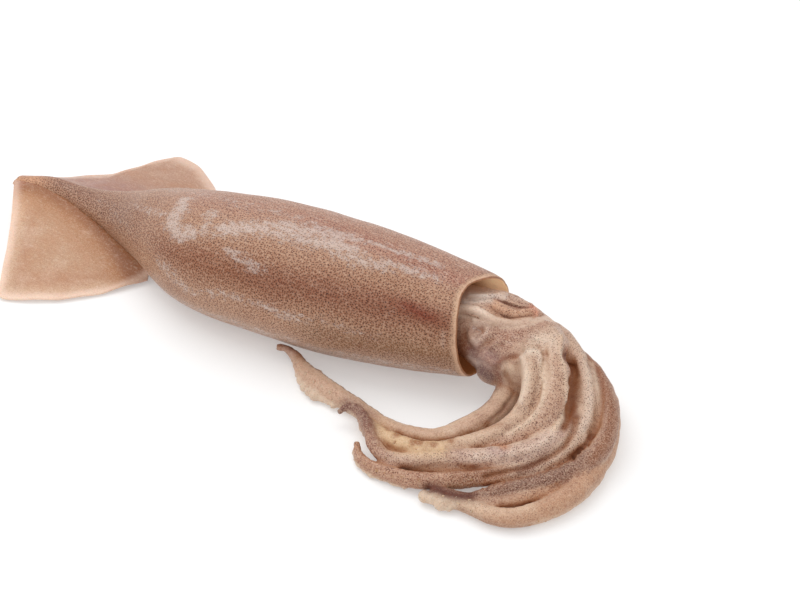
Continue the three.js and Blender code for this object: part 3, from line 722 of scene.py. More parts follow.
CHEEK_HOLLOW = [(91.8, -2.6, 32.6), (95.2, -2.2, 32.6)]
V_FOLD = [(90.5, -0.3, 34.6), (97.0, 0.2, 34.9), (97.8, -2.6, 32.9), (95.3, -6.2, 28.9), (90.7, -5.0, 30.4)]

# %% Raise and sink the lines
HEAD_RELIEF = [  # height, width and the line it follows
    (0.7, 1.2, V_FOLD),
    (-1.0, 1.1, CHEEK_HOLLOW),
    (-0.9, 1.0, [(92, -7.5, 26.0), (96, -8.0, 25.4), (99, -6.4, 28.6), (101, -3.4, 31.6)]),
    (0.8, 2.0, [(101, -7.6, 25.0), (104, -8.0, 22.4)]),
    (-0.8, 1.1, [(102, -6.8, 27.8), (106, -7.6, 26.4), (107.6, -9.0, 22.6), (109.4, -9.2, 18.4)]),
    (0.6, 0.9, [(101.5, -6.6, 28.6), (103.1, -4.8, 30.8), (105.2, -3.5, 31.9)]),
    (-0.7, 0.8, [(103.0, -6.6, 28.2), (105.0, -4.8, 30.4), (107.2, -3.2, 31.8)]),
    (-1.1, 0.9, CROWN_CRACK),
    (-0.8, 0.8, [(107.0, -9.1, 21.2), (109.5, -8.5, 25.0), (112.9, -6.6, 28.3)]),
    (-1.0, 1.2, [(112.0, -8.9, 20.0), (111.2, -8.8, 23.9), (112.4, -8.0, 26.4)]),
    (-1.2, 1.1, ARM_B_FOOT),
    (0.7, 1.1, ARM_B_LEFT),
    (0.9, 1.2, ARM_B_TOP),
    (-1.0, 0.9, [(116.4, -5.2, 32.4), (118.4, -4.0, 33.8), (120.6, -2.6, 34.8), (123.6, -1.4, 34.9),
                 (127.0, -3.2, 33.4)]),
    (0.7, 0.9, ARM_B_RIGHT),
    (-0.9, 0.8, ARM_B_HOLLOW),
    (-0.9, 0.8, ARM_W_HOLLOW),
    (0.9, 1.2, ARM_W_RIGHT),
    (-3.0, 2.8, WIDE_GAP[:-1]),
    (0.6, 1.0, ARM_D_LEFT),
    (0.6, 1.1, ARM_D_RIGHT),
    (-1.6, 1.5, OUTER_GAP),
    (-1.5, 1.0, UNDER_GAP),
    (-0.6, 0.9, FLANK_GAP),
    (0.6, 1.2, LOW_EDGE[1:]),
    (0.7, 1.6, [(127.8, -46.5, 13.7), (130.0, -45.5, 14.0), (132.7, -45.4, 14.1)]),
]


def raise_lines(heights, points, table):
    """Adds each line of a table of heights, widths and lines."""
    for height, width, line in table:
        heights = heights + height * near_line(points, line, width)
    return heights


lumps = raise_lines(lumps, points, HEAD_RELIEF)
frill = near_line(points, ARM_W_RIGHT, 1.6)
frill += 0.7 * near_line(points, ARM_D_RIGHT, 1.4)
frill += 0.5 * near_line(points, ARM_D_LEFT, 1.2)
lumps += 0.45 * wobble(points, 1.5, 8.8) * frill
grainy = np.clip(1.3 * near_line(points, GRAINY_STRIP, 4.0), 0, 1)
lumps += 0.75 * np.abs(wobble(points, 1.3, 5.5)) * grainy
points += outward * (lumps * smoothstep(0.4, 3.0, points[:, 2]))[:, None]
points[:, 2] = np.maximum(points[:, 2], TABLE_GAP)
set_points(crown.data, points)
print("head and arms moved, mm:", round(float(lumps.min()), 2), "to", round(float(lumps.max()), 2))

# %% [markdown]
# ## The funnel
# The funnel is a soft siphon, pressed flat in its groove with its mouth towards the arms. Its upper
# side has collapsed into two long lips with a deep slit between them, and pale folds cross its foot.
# Its wall turns in at the mouth, so it is a sock that goes out along the top and comes back inside.

# %% Knit the funnel
FUNNEL_STATIONS = [
    (68, 8.5, 36.0, 8.0, 2.2), (82, 9.5, 36.4, 10.0, 2.8), (91, 11.0, 36.2, 11.0, 3.5),
    (99, 12.8, 34.8, 10.4, 3.9), (106, 14.2, 33.1, 8.8, 3.5), (111, 15.2, 32.2, 6.8, 2.7),
]
FUNNEL_WALL, FUNNEL_BORE = 1.3, 16
FUNNEL_SIDES = 144
FUNNEL_LIP = [(110.8, 0.25), (111.0, 0.65), (110.8, 1.05)]  # x and how far in from the outside
outer = oval_rings(FUNNEL_STATIONS, from_x=68, to_x=110.4, spacing=0.5, sides=FUNNEL_SIDES)
lips = np.concatenate([oval_rings(FUNNEL_STATIONS, x, x, 1, FUNNEL_SIDES, -g) for x, g in FUNNEL_LIP])
bore = oval_rings(FUNNEL_STATIONS, 110.4, 111 - FUNNEL_BORE, 1.2, FUNNEL_SIDES, grow=-FUNNEL_WALL)
bm = bmesh.new()
knit_sock(bm, np.concatenate([outer, lips, bore]))
funnel = piece_from(bm, "funnel_tube")

# %% Press in the slit and the folds
points, outward = mesh_points(funnel.data), outward_of(funnel.data)
_, _, middle_z, _, high = smooth_row(FUNNEL_STATIONS, points[:, 0]).T
top = smoothstep(-0.2, 0.3, (points[:, 2] - middle_z) / high)
shown = smoothstep(80, 88, points[:, 0])
FUNNEL_SLIT = [(92.2, 12.3, 38.5), (94.2, 12.2, 38.8), (96.8, 12.8, 38.5), (99.4, 13.3, 37.7),
               (102.4, 14.8, 37.0), (105.1, 16.8, 36.9), (106.4, 19.5, 36.4)]
LIP_GROOVE = [(96.7, 16.1, 39.2), (99.3, 16.6, 38.3), (102.7, 17.5, 37.6), (104.8, 18.8, 37.1)]
LOW_LIP = [(95.7, 8.2, 39.3), (99.5, 8.4, 38.6), (103.2, 10.3, 37.6), (106.1, 15.1, 36.0),
           (108.2, 18.1, 35.4)]
UPPER_LIP = [(93.0, 14.5, 39.2), (97.0, 17.8, 38.4), (101.0, 19.2, 37.4), (105.0, 20.2, 36.4)]
SIDE_FOLDS = [[(98.0, 9.6, 38.8), (101.4, 11.4, 37.9), (104.0, 13.6, 36.9)],
              [(95.4, 19.4, 38.0), (99.6, 21.2, 36.8), (103.4, 21.6, 36.0)]]
LIP_CREASE = [(92.6, 7.1, 38.2), (96.1, 6.1, 38.1), (99.9, 6.4, 36.9), (103.8, 7.9, 36.1),
              (107.5, 11.3, 35.8), (109.2, 16.5, 35.0)]
PALE_STRIPS = [[(82.5, 9.0, 39.2), (88.0, 11.2, 39.4), (92.0, 14.2, 39.2), (94.9, 15.8, 38.9)],
               [(83.0, 3.6, 38.8), (85.6, 5.6, 39.0), (89.0, 8.0, 39.2), (91.9, 9.7, 39.2)]]
STRIP_HOLLOW = [(83.0, 5.6, 39.2), (85.9, 6.8, 39.2), (89.2, 9.3, 39.5), (91.2, 12.4, 39.2)]
FUNNEL_RELIEF = [  # height, width and the line it follows
    (-1.5, 0.7, FUNNEL_SLIT),
    (-0.6, 0.6, LIP_GROOVE),
    (1.2, 2.2, LOW_LIP),
    (-1.0, 0.8, LIP_CREASE),
    (0.7, 1.2, UPPER_LIP),
    (0.9, 0.9, PALE_STRIPS[0]),
    (0.7, 0.8, PALE_STRIPS[1]),
    (-1.2, 0.9, STRIP_HOLLOW),
    (-0.6, 0.6, SIDE_FOLDS[0]),
    (-0.6, 0.6, SIDE_FOLDS[1]),
]
relief = 0.30 * wobble(points, 4.5, 6.1) + 0.14 * wobble(points, 1.8, 3.3)
relief = raise_lines(relief, points, FUNNEL_RELIEF)
points += outward * (relief * top * shown - 0.1)[:, None]
set_points(funnel.data, points)
print("funnel pressed, mm:", round(float(relief.min()), 2), "to", round(float(relief.max()), 2))

# %% [markdown]
# ## The suckers
# A sucker is a small fleshy cup on a short stalk, with a pale ring round a darker hollow. It is
# spun once from a profile of eight points and copied along the arms in staggered rows. Each copy
# has few faces, because there are hundreds. They are copied into one mesh instead of linked, so that
# every cup can be squashed a little differently.

# %% One sucker cup
def cup_shape():
    bm = bmesh.new()
    profile = [  # distance from the axis and height
        (0.0, -0.9), (0.5, -0.8), (0.85, -0.25), (1.0, 0.2), (0.88, 0.52), (0.62, 0.56), (0.4, 0.36),
        (0.0, 0.3),
    ]
    verts = [bm.verts.new((r, 0, h)) for r, h in profile]
    edges = [bm.edges.new(pair) for pair in zip(verts, verts[1:])]
    bmesh.ops.spin(bm, geom=verts + edges, axis=(0, 0, 1), cent=(0, 0, 0), angle=2 * math.pi, steps=10,
                   use_merge=True)
    bmesh.ops.remove_doubles(bm, verts=bm.verts, dist=1e-4)
    bmesh.ops.recalc_face_normals(bm, faces=bm.faces)
    mesh = bpy.data.meshes.new("cup")
    bm.to_mesh(mesh)
    bm.free()
    return mesh


cup = cup_shape()
print("one sucker has", len(cup.polygons), "faces")

# %% Rows of suckers
# limb, from and to as shares of its length, how many, the largest radius, the side they face in
# degrees from straight up, how far the row staggers, how far they stand out, and their tone
SUCKER_ROWS = [
    ("near_tentacle", 0.66, 0.92, 16, 0.8, 64, 22, -0.3, "clear"),
    ("near_tentacle", 0.22, 0.60, 26, 0.95, 84, 14, -0.45, "golden"),
    ("inner_arm", 0.66, 0.98, 16, 0.7, 30, 16, -0.45, "golden"),
    ("low_arm", 0.80, 0.97, 10, 0.9, 30, 30, -0.2, "clear"),
    ("low_arm", 0.55, 0.80, 14, 0.7, 112, 10, -0.4, "golden"),
    ("ridge_arm", 0.64, 0.95, 30, 0.75, 78, 26, -0.35, "golden"),
    ("covered_arm", 0.62, 0.80, 14, 0.6, 30, 22, -0.5, "golden"),
    ("outer_arm", 0.50, 0.88, 40, 0.8, 26, 30, -0.35, "dusky"),
    ("outer_arm", 0.48, 0.86, 34, 0.8, -20, 24, -0.35, "dusky"),
    ("folded_arm", 0.50, 0.98, 22, 0.8, 24, 24, -0.35, "dusky"),
    ("under_arm", 0.66, 0.97, 12, 0.7, 60, 18, -0.4, "golden"),
    ("under_tentacle", 0.60, 0.98, 16, 0.7, 96, 12, -0.4, "golden"),
]

# %% Set the suckers on the arms
random.seed(11)
bm = bmesh.new()
sucker_tones = []
for name, start, end, count, largest, faces, stagger, proud, tone in SUCKER_ROWS:
    limb = LIMBS[name]
    centres, _ = soft_route(limb["route"], 1.0)
    ahead, left, up = limb_frame(centres)
    for k in range(count):
        share = (k + 0.5 + random.uniform(-0.2, 0.2)) / count
        s = start + (end - start) * share
        i = min(len(centres) - 1, int(round(s * (len(centres) - 1))))
        radius = min(float(limb_radius(limb, s)), centres[i][2])
        size = largest * (1 - 0.4 * abs(2 * share - 1)) * random.uniform(0.72, 1.15)
        angle = math.radians(faces + (stagger if k % 2 else -stagger) + random.uniform(-7, 7))
        out = Vector(left[i] * math.sin(angle) + up[i] * math.cos(angle))
        place = Vector(centres[i]) + out * (radius + size * (0.2 + proud))
        place.z = max(place.z, size + 0.1)
        faces_way = out + 0.35 * Vector(ahead[i]) * random.uniform(-1, 1)
        tilt = faces_way.to_track_quat("Z", "X").to_matrix().to_4x4()
        squash = Matrix.Diagonal((
            random.uniform(0.8, 1.15), random.uniform(0.8, 1.15), random.uniform(0.7, 1.1), 1,
        ))
        before = len(bm.verts)
        bm.from_mesh(cup)
        bm.verts.ensure_lookup_table()
        fresh = bm.verts[before:]
        matrix = Matrix.Translation(place) @ tilt @ Matrix.Scale(size, 4) @ squash
        bmesh.ops.transform(bm, matrix=matrix, verts=fresh)
        sucker_tones += [tone] * len(fresh)
suckers = piece_from(bm, "suckers", outward=False)
points, outward = mesh_points(suckers.data), outward_of(suckers.data)
points += outward * (0.16 * wobble(points, 1.3, 2.7))[:, None]
points[:, 2] = np.maximum(points[:, 2], TABLE_GAP)
set_points(suckers.data, points)
print("suckers:", len(bpy.data.meshes["suckers"].vertices) // len(cup.vertices))

# %% [markdown]
# ## How deep each point lies
# Between the arms, under the lip and beside the fins the flesh looks orange and dark, because
# light reaches it only through other flesh. A few short rays from each point measure how much of
# it is hemmed in. That share says where this shade is painted into the colours that the finishes read.

# %% Rays from every point
RAYS = 12
GOLDEN_ANGLE = 2.399963
RAY_START = 0.3


def hemmed_in(piece, bvh, reach):
    """How much of what each point faces is filled by flesh nearer than the reach."""
    points, outward = mesh_points(piece.data), outward_of(piece.data)
    spread = []
    for k in range(RAYS):
        lean, round_ = math.acos(1 - (k + 0.5) / (RAYS + 2)), k * GOLDEN_ANGLE
        spread.append((math.sin(lean) * math.cos(round_), math.sin(lean) * math.sin(round_), math.cos(lean)))
    hemmed = np.zeros(len(points))
    for k, (point, out) in enumerate(zip(points, outward)):
        out = Vector(out)
        side = out.orthogonal().normalized()
        other = out.cross(side)
        start = Vector(point) + RAY_START * out
        for a, b, c in spread:
            hit = bvh.ray_cast(start, a * side + b * other + c * out, reach)[3]
            if hit is not None:
                hemmed[k] += (1 - hit / reach) / len(spread)
    return hemmed


def soften(mesh, values, passes):
    """The values, each mixed with those of the points beside it."""
    pairs = np.empty(len(mesh.edges) * 2, np.int64)
    mesh.edges.foreach_get("vertices", pairs)
    a, b = pairs.reshape(-1, 2).T
    count = np.bincount(np.concatenate([a, b]), minlength=len(values)).astype(float)
    values = np.asarray(values, float)
    flat = values.reshape(len(values), -1)
    for _ in range(passes):
        total = [np.bincount(a, column[b], len(values)) + np.bincount(b, column[a], len(values))
                 for column in flat.T]
        total = np.stack(total, 1)
        flat = 0.5 * flat + 0.5 * total / np.maximum(count, 1)[:, None]
    return flat.reshape(values.shape)


# %% Measure the crevices
PIECES = [mantle_tube, fins, crown, funnel, suckers]
FAR_REACH, NEAR_REACH = 13.0, 4.0
every_point, every_face, shift = [], [], 0
for piece in PIECES:
    every_point += [tuple(p) for p in mesh_points(piece.data)]
    every_face += [tuple(v + shift for v in face.vertices) for face in piece.data.polygons]
    shift = len(every_point)
skin_tree = BVHTree.FromPolygons(every_point, every_face)
CREVICE = {piece.name: soften(piece.data, hemmed_in(piece, skin_tree, FAR_REACH), 2) for piece in PIECES}
CREASE = {}
for piece in (crown, funnel):
    CREASE[piece.name] = soften(piece.data, hemmed_in(piece, skin_tree, NEAR_REACH), 1)
for name, depth in CREVICE.items():
    print(name, "hemmed in, mean and most:", round(float(depth.mean()), 3), round(float(depth.max()), 3))


# %% [markdown]
# ## Painting
# The broad colours of the skin are painted on the points, as soft lines laid over each other: each
# has a tone, a strength and a width. Speckle, frost and grain are finer than the points, so those
# come from textures in the finishes. The same could be done by hand in Vertex Paint mode, but a
# table of lines can be read and corrected.

# %% Tones and layers of paint
def srgb(red, green, blue):
    """A tone of three numbers from 0 to 255, as the linear colour that shaders work with."""
    value = np.array([red, green, blue]) / 255
    return np.where(value <= 0.04045, value / 12.92, ((value + 0.055) / 1.055) ** 2.4)


def one_tone(points, tone):
    return np.tile(srgb(*tone), (len(points), 1))


def blend(paint, other, amount):
    """One paint with another over it, as thickly as amount says at each point."""
    amount = np.clip(amount, 0, 1)[:, None]
    return paint * (1 - amount) + other * amount


def lay(paint, tone, amount):
    return blend(paint, srgb(*tone), amount)


def lay_lines(paint, points, table):
    for tone, strength, width, line in table:
        paint = lay(paint, tone, strength * near_line(points, line, width))
    return paint


TAN, PINK, FROST = (174, 134, 108), (176, 134, 118), (200, 180, 168)
# the tones of the painted shade in crevices: orange in a shallow one, umber in a deep one
UMBER, ORANGE_SHADE = (92, 50, 28), (168, 108, 62)


# %% Keeping values on the skin
def keep_attribute(piece, name, values):
    """Keeps one number or one colour for each point, under a name that a finish reads."""
    values = np.asarray(values, np.float32)
    if values.ndim == 1:
        attribute = piece.data.attributes.new(name, "FLOAT", "POINT")
        attribute.data.foreach_set("value", values)
    else:
        opaque = np.ones((len(values), 1), np.float32)
        attribute = piece.data.attributes.new(name, "FLOAT_COLOR", "POINT")
        attribute.data.foreach_set("color", np.concatenate([values, opaque], 1).ravel())


def keep_places(piece, name, places):
    """Keeps a place on the unrolled skin for each corner of each face."""
    layer = piece.data.uv_layers.new(name=name)
    layer.data.foreach_set("uv", places.astype(np.float32).ravel())


def corner_points(piece):
    """The point and the face of each corner of each face."""
    index = np.empty(len(piece.data.loops), np.int32)
    piece.data.loops.foreach_get("vertex_index", index)
    sides = np.empty(len(piece.data.polygons), np.int32)
    piece.data.polygons.foreach_get("loop_total", sides)
    return index, np.repeat(np.arange(len(sides)), sides)


# %% Lines on the unrolled mantle
def along_line(x, turn, line, width_x, width_turn):
    """How near each point is to a line of (x, turn) corners, 1 on it and 0 away from it."""
    near = np.zeros(len(x))
    for (x0, t0), (x1, t1) in zip(line, line[1:]):
        span = np.array([(x1 - x0) / width_x, (t1 - t0) / width_turn])
        gap = np.stack([(x - x0) / width_x, ((turn - t0 + 180) % 360 - 180) / width_turn])
        share = np.clip((gap * span[:, None]).sum(0) / max(1e-9, (span ** 2).sum()), 0, 1)
        near = np.maximum(near, np.exp(-((gap - share * span[:, None]) ** 2).sum(0)))
    return near


def lay_bands(paint, x, turn, table):
    for tone, strength, width_x, width_turn, line in table:
        paint = lay(paint, tone, strength * along_line(x, turn, line, width_x, width_turn))
    return paint


def strongest(start, x, turn, table):
    """At each point the strongest of the start and all the lines in the table."""
    for strength, width_x, width_turn, line in table:
        start = np.maximum(start, strength * along_line(x, turn, line, width_x, width_turn))
    return start


# %% [markdown]
# The mantle is tan. A brown band runs low along its near side, pink ones over the top, and a small
# rust-red stain lies near the mouth. Each is a line of (x, turn) on the unrolled tube, because a
# line in space would cut through a tube of this width.

# %% The mantle's bands of colour
MANTLE_BANDS = [  # tone, strength, width along, width round and the line of (x, turn)
    ((134, 84, 58), 0.55, 14, 10, [(10, 152), (45, 148), (76, 146)]),
    ((138, 98, 78), 0.9, 20, 46, [(-140, 100), (-92, 140)]),
    (PINK, 0.85, 25, 22, [(-40, 86), (50, 82), (88, 84)]),
    ((172, 120, 106), 0.6, 14, 9, [(20, 92), (60, 96), (86, 96)]),
    ((186, 148, 132), 0.7, 20, 14, [(-40, 60), (70, 60)]),
    (PINK, 0.35, 25, 30, [(-20, 40), (70, 30)]),
    ((140, 104, 74), 0.8, 14, 16, [(36, 188), (88, 184)]),
    ((166, 126, 98), 0.7, 6, 12, [(78, 168), (88, 168)]),
    (TAN, 0.5, 16, 12, [(-70, 178), (-10, 174)]),
]
MANTLE_MARKS = [
    ((150, 88, 62), 0.6, 8, 14, [(-158, 60), (-150, 64), (-140, 70)]),
    # painted sheen along the lower near contour
    (FROST, 0.4, 20, 9, [(-60, 208), (0, 206), (60, 208)]),
    (FROST, 0.55, 0.7, 3, [(84.5, 158), (85.5, 172)]),
]
points = mesh_points(mantle_tube.data)
turn = mantle_turn(points)
x = points[:, 0]
broad = wobble(points * (0.5, 1, 1), 14, 7.7)
brown_line = along_line(x, turn, [(-45, 152), (4, 152), (36, 148), (84, 150)], 20, 19)
stain = 0.85 * along_line(x, turn, [(68, 140), (72, 143), (76, 146)], 5, 5)
stain += 0.22 * along_line(x, turn, [(56, 138), (73, 140), (80, 149)], 9, 8)
paint = one_tone(points, TAN)
paint = lay(paint, (138, 84, 52), 0.9 * brown_line + 0.22 * broad)
paint = lay_bands(paint, x, turn, MANTLE_BANDS)
paint = lay(paint, (126, 56, 24), stain)
paint = lay(paint, (214, 164, 130), 0.75 * smoothstep(-142, -158, x))
paint = lay_bands(paint, x, turn, MANTLE_MARKS)
print("mantle paint, mean:", paint.mean(0).round(3))

# %% [markdown]
# The lip is paler than the skin, with a thin dark line behind it. The inner wall is wet orange
# flesh, with painted light: it is brightest on the far side, where a little light even comes through
# from behind, and lighter towards the rim. That light is also a weak emission, because the body
# behind the wall is solid here and lets no light through.

# %% The lip and the inner wall
MANTLE_TONE = (0.865, 0.775, 0.70)  # brings the painted tones to those of skin in this light
from_rim = x - rim_reach(turn) - MOUTH_X
lip_ring = ring_of - len(outside_x)
rim = smoothstep(-2.0, 0.0, lip_ring)
inside = smoothstep(len(outside_x) + 4.5, len(outside_x) + 8.5, ring_of)
paint = lay(paint, UMBER, 0.30 * np.exp(-((from_rim + 2.6) / 0.8) ** 2) * (1 - inside))
paint = lay(paint, (230, 200, 174), 0.85 * rim)
paint = lay(paint, (158, 104, 68), 0.85 * smoothstep(1.2, 3.0, lip_ring))
# painted light on the inner wall: cream on the far side, paler towards the rim
sunny = np.exp(-(((turn - 30 + 180) % 360 - 180) / 42) ** 2) * smoothstep(-24, -3, from_rim)
wall_paint = lay(one_tone(points, (166, 100, 56)), (238, 202, 160), sunny)
wall_paint = lay(wall_paint, (206, 148, 92), 0.6 * smoothstep(-5, 0, from_rim) * (1 - sunny))
paint = np.clip(paint * MANTLE_TONE, 0, 1)
paint = paint * (1 - inside[:, None]) + wall_paint * inside[:, None]
# painted shade where the mantle is hemmed in by the fins and the head: orange, then umber in the deepest
# places
deep = CREVICE["mantle_tube"]
paint = lay(paint, ORANGE_SHADE, 0.5 * smoothstep(0.2, 0.55, deep) * (1 - inside))
paint = lay(paint, UMBER, 0.7 * smoothstep(0.45, 0.8, deep) * (1 - inside))
keep_attribute(mantle_tube, "paint", paint)
keep_attribute(mantle_tube, "glow", inside * (0.16 + 0.34 * sunny) * smoothstep(-34, -10, from_rim))
# shade holds back the pale tints and the wet film: it is painted shade in the pocket, and it also covers the
# lip, the brown band and the red stain
shade = inside + 0.6 * rim
shade += 0.55 * along_line(x, turn, [(-30, 152), (4, 154), (36, 148), (84, 148)], 14, 15)
shade += 0.4 * along_line(x, turn, [(68, 140), (78, 147)], 9, 8)
keep_attribute(mantle_tube, "shade", np.clip(shade, 0, 1))
print("points inside the pocket:", int((inside > 0.5).sum()))

# %% [markdown]
# Dots from a pattern in space come out uneven, because the skin cuts some cells through the middle
# and some at the side. So the mantle is unrolled: each corner of a face gets its distance along the
# tube and round it, in millimetres. A UV unwrap would do as well, but the turns are known already.

# %% Unroll the mantle
MIDDLE_TURN = 140  # the seam lies opposite, underneath
corner, face = corner_points(mantle_tube)
swing = (turn[corner] - MIDDLE_TURN + 180) % 360 - 180
first_swing = swing[np.searchsorted(face, face)]
swing += 360 * ((first_swing - swing > 180).astype(float) - (swing - first_swing > 180))
_, _, wide, high = mantle_oval(x)
round_way = np.radians(swing) * ((wide + high) / 2)[corner]
keep_places(mantle_tube, "unrolled", np.stack([x[corner], round_way], 1))
print("unrolled width, mm:", round(float(np.ptp(round_way)), 1))

# %% [markdown]
# Three more values vary over the mantle: how dense the dots are, where the skin has rubbed loose
# and looks frosty, with painted sheen along its lower near contour, and where it is flushed with
# red. The finish turns each into a texture. The frosty patches are listed one by one, since no
# rule says where a skin rubs.

# %% Speckle, frost and flush on the mantle
FROST_PATCHES = [  # strength, width along, width round and the line of (x, turn)
    (0.75, 11, 10, [(-81, 118), (-71, 121), (-63, 121)]),
    (1.00, 8, 13, [(-54, 98), (-51, 113), (-51, 127), (-43, 132), (-36, 130)]),
    (0.85, 7, 10, [(-33, 107), (-30, 118), (-31, 127)]),
    (1.00, 12, 13, [(-21, 120), (-15, 115), (-6, 110), (6, 104), (18, 98), (31, 97)]),
    (1.00, 12, 12, [(8, 110), (24, 108), (35, 106)]),
    (0.95, 10, 10, [(34, 112), (42, 114), (50, 112)]),
    (0.90, 9, 9, [(53, 106), (60, 105), (69, 104)]),
    (0.95, 10, 6, [(31, 93), (50, 92), (66, 86)]),
    (0.85, 9, 8, [(-12, 138), (-5, 141), (0, 144)]),
    (0.75, 10, 8, [(-48, 166), (-38, 177), (-29, 186)]),
    (0.75, 12, 7, [(-16, 177), (-9, 174), (-1, 174)]),
    (0.80, 12, 7, [(8, 174), (15, 174), (22, 177)]),
    (0.60, 14, 7, [(26, 172), (40, 172), (52, 175)]),
    (0.60, 16, 12, [(-80, 74), (-40, 84), (20, 92)]),
    (0.60, 18, 14, [(-60, 50), (0, 46), (60, 48)]),
    (0.55, 12, 10, [(-110, 120), (-90, 150)]),
]
FLUSHED_PATCHES = [
    (1.0, 14, 15, [(10, 84), (50, 92), (86, 100)]),
    (1.0, 9, 11, [(62, 148), (82, 138)]),
    (0.6, 14, 12, [(-30, 146), (60, 146)]),
    (0.8, 20, 22, [(-40, 80), (40, 66), (86, 66)]),
    (0.8, 9, 16, [(-140, 110), (-118, 128)]),
]
speckle = 0.80 + 0.20 * along_line(x, turn, [(-110, 150), (0, 155), (70, 155)], 30, 30)
speckle -= 0.35 * along_line(x, turn, [(50, 186), (88, 182)], 12, 9)
speckle -= 0.25 * along_line(x, turn, [(20, 84), (88, 90)], 25, 14)
speckle -= 0.4 * smoothstep(-148, -162, x)
# frost starts from painted sheen along the lower near contour, then takes the frosty patches
frost = strongest(0.75 * smoothstep(197, 207, turn) * smoothstep(250, 225, turn), x, turn, FROST_PATCHES)
flush = strongest(0, x, turn, FLUSHED_PATCHES)
keep_attribute(mantle_tube, "speckle", np.clip(speckle, 0, 1) * (1 - inside) * (1 - 0.8 * rim))
keep_attribute(mantle_tube, "frost", frost * (1 - inside) * (1 - rim))
keep_attribute(mantle_tube, "flush", flush * (1 - inside))
print("frosty share:", round(float((frost > 0.5).mean()), 2))

# %% [markdown]
# A fin is pale orange. Painted light makes it paler at its thin edge, where light comes through, and
# painted shade makes it dark where it meets the mantle. The distances to the edge and to the root
# drive these tones, so they follow the fin's own outline.

# %% Paint the fins
points = mesh_points(fins.data)
x = points[:, 0]
y, _, wide, _ = mantle_oval(x)
reach = np.abs(points[:, 1] - y) - wide
near = points[:, 1] < y
near_edge = np.interp(x, *np.array(NEAR_FIN_EDGE)[:, :2].T)
far_edge = np.interp(x, *np.array(FAR_FIN_EDGE)[:, :2].T)
from_edge = np.abs(np.where(near, near_edge, far_edge) - points[:, 1])
broad = wobble(points, 16, 2.9) + 0.5 * wobble(points, 6, 5.2)
ridge = np.exp(-((from_edge - 15) / 6) ** 2)
far_stain = np.exp(-((x + 128) / 16) ** 2)
tail_roll = smoothstep(TAIL_X + 12, TAIL_X + 1, x) * smoothstep(6.5, 9.5, points[:, 2])
paint = one_tone(points, (184, 146, 116))
for tone, amount in [
    ((180, 134, 100), 0.5 * smoothstep(-0.1, 0.7, broad)),
    # painted light: paler towards the thin edge, where light comes through
    ((212, 178, 150), 0.7 * smoothstep(18, 3, from_edge)),
    ((196, 162, 136), 0.4 * smoothstep(-0.2, -0.8, broad)),
    ((174, 124, 92), 0.5 * ridge * near * smoothstep(-150, -130, x)),
    # painted light: palest right at the thin edge
    ((232, 202, 180), 0.8 * smoothstep(6, 0.3, from_edge)),
    ((208, 162, 128), 0.7 * smoothstep(-140, -158, x) * near),
    # painted shade under the mantle's overhang, darkest at the fin's root
    ((160, 106, 60), 0.85 * smoothstep(19, 2, reach) * near),
    ((130, 76, 40), 0.9 * smoothstep(8, 0, reach) * near),
    ((162, 122, 106), 0.6 * ~near),
    ((156, 118, 108), 0.8 * smoothstep(34, 10, reach) * ~near),
    ((152, 112, 106), 0.6 * far_stain * smoothstep(26, 6, reach) * ~near),
    ((158, 92, 62), 0.75 * tail_roll),
    # painted shade where the fin is hemmed in
    (ORANGE_SHADE, 0.5 * smoothstep(0.2, 0.5, CREVICE["fins"])),
]:
    paint = lay(paint, tone, amount)
keep_attribute(fins, "paint", paint)
# the finish lays more painted light on this edge value
keep_attribute(fins, "edge", smoothstep(8, 0.5, from_edge))
print("fin paint, mean:", paint.mean(0).round(3))

# %% [markdown]
# Each limb has a speckled back of one tone and a pale inner side with hardly a dot. Towards the
# tip the tone changes. Which limb a point belongs to was found after the fusing, so the paint can
# follow the limbs through the heap. Paint sprayed on from outside would smear over the gaps.

# %% Paint the limbs
# Each limb: its main tone, how speckled it is, the tone of its tip, and where the tip begins
LIMB_PAINT = {
    "near_tentacle": ((192, 158, 136), 0.3, (160, 122, 100), 0.955),
    "inner_arm": ((180, 148, 126), 1.0, (196, 158, 118), 0.62),
    "keeled_arm": ((184, 148, 126), 1.0, (200, 168, 138), 0.74),
    "covered_arm": ((186, 156, 142), 0.95, (158, 116, 98), 0.76),
    "ridge_arm": ((202, 174, 154), 0.9, (166, 122, 98), 0.60),
    "outer_arm": ((150, 112, 94), 0.6, (118, 76, 60), 0.58),
    "folded_arm": ((160, 112, 84), 0.5, (128, 86, 66), 0.60),
    "low_arm": ((182, 140, 112), 0.35, (200, 172, 148), 0.84),
    "under_arm": ((150, 98, 64), 0.4, (178, 136, 110), 0.78),
    "under_tentacle": ((184, 140, 110), 0.35, (176, 134, 108), 0.80),
}
SOCK_NUMBER = {name: number for number, name in enumerate(SOCKS)}
BACK_TURN = 42
points = mesh_points(crown.data)
paint = one_tone(points, (178, 142, 122))
speckle = np.full(len(points), 0.25)
back = smoothstep(88, 30, np.abs((crown_turn - BACK_TURN + 180) % 360 - 180))
for name, (main, dots, tip, begins) in LIMB_PAINT.items():
    here = on_limb * (crown_limb == SOCK_NUMBER[name])
    both_sides = lay(one_tone(points, main), (222, 200, 178), 0.65 * (1 - back))
    paint = blend(paint, both_sides, here * smoothstep(0.02, 0.14, crown_s))
    paint = lay(paint, tip, here * smoothstep(begins - 0.06, begins + 0.04, crown_s))
    speckle = speckle * (1 - here) + here * dots * (0.04 + 0.96 * back)
print("limb paint, mean:", paint.mean(0).round(3))

# %% [markdown]
# The tentacle carries a row of brown blotches, and three arms have a dark edge. Both follow the
# limb's length and turn, which every point of the fused skin has looked up. The arm that dives
# under the others gets painted shade where it disappears.

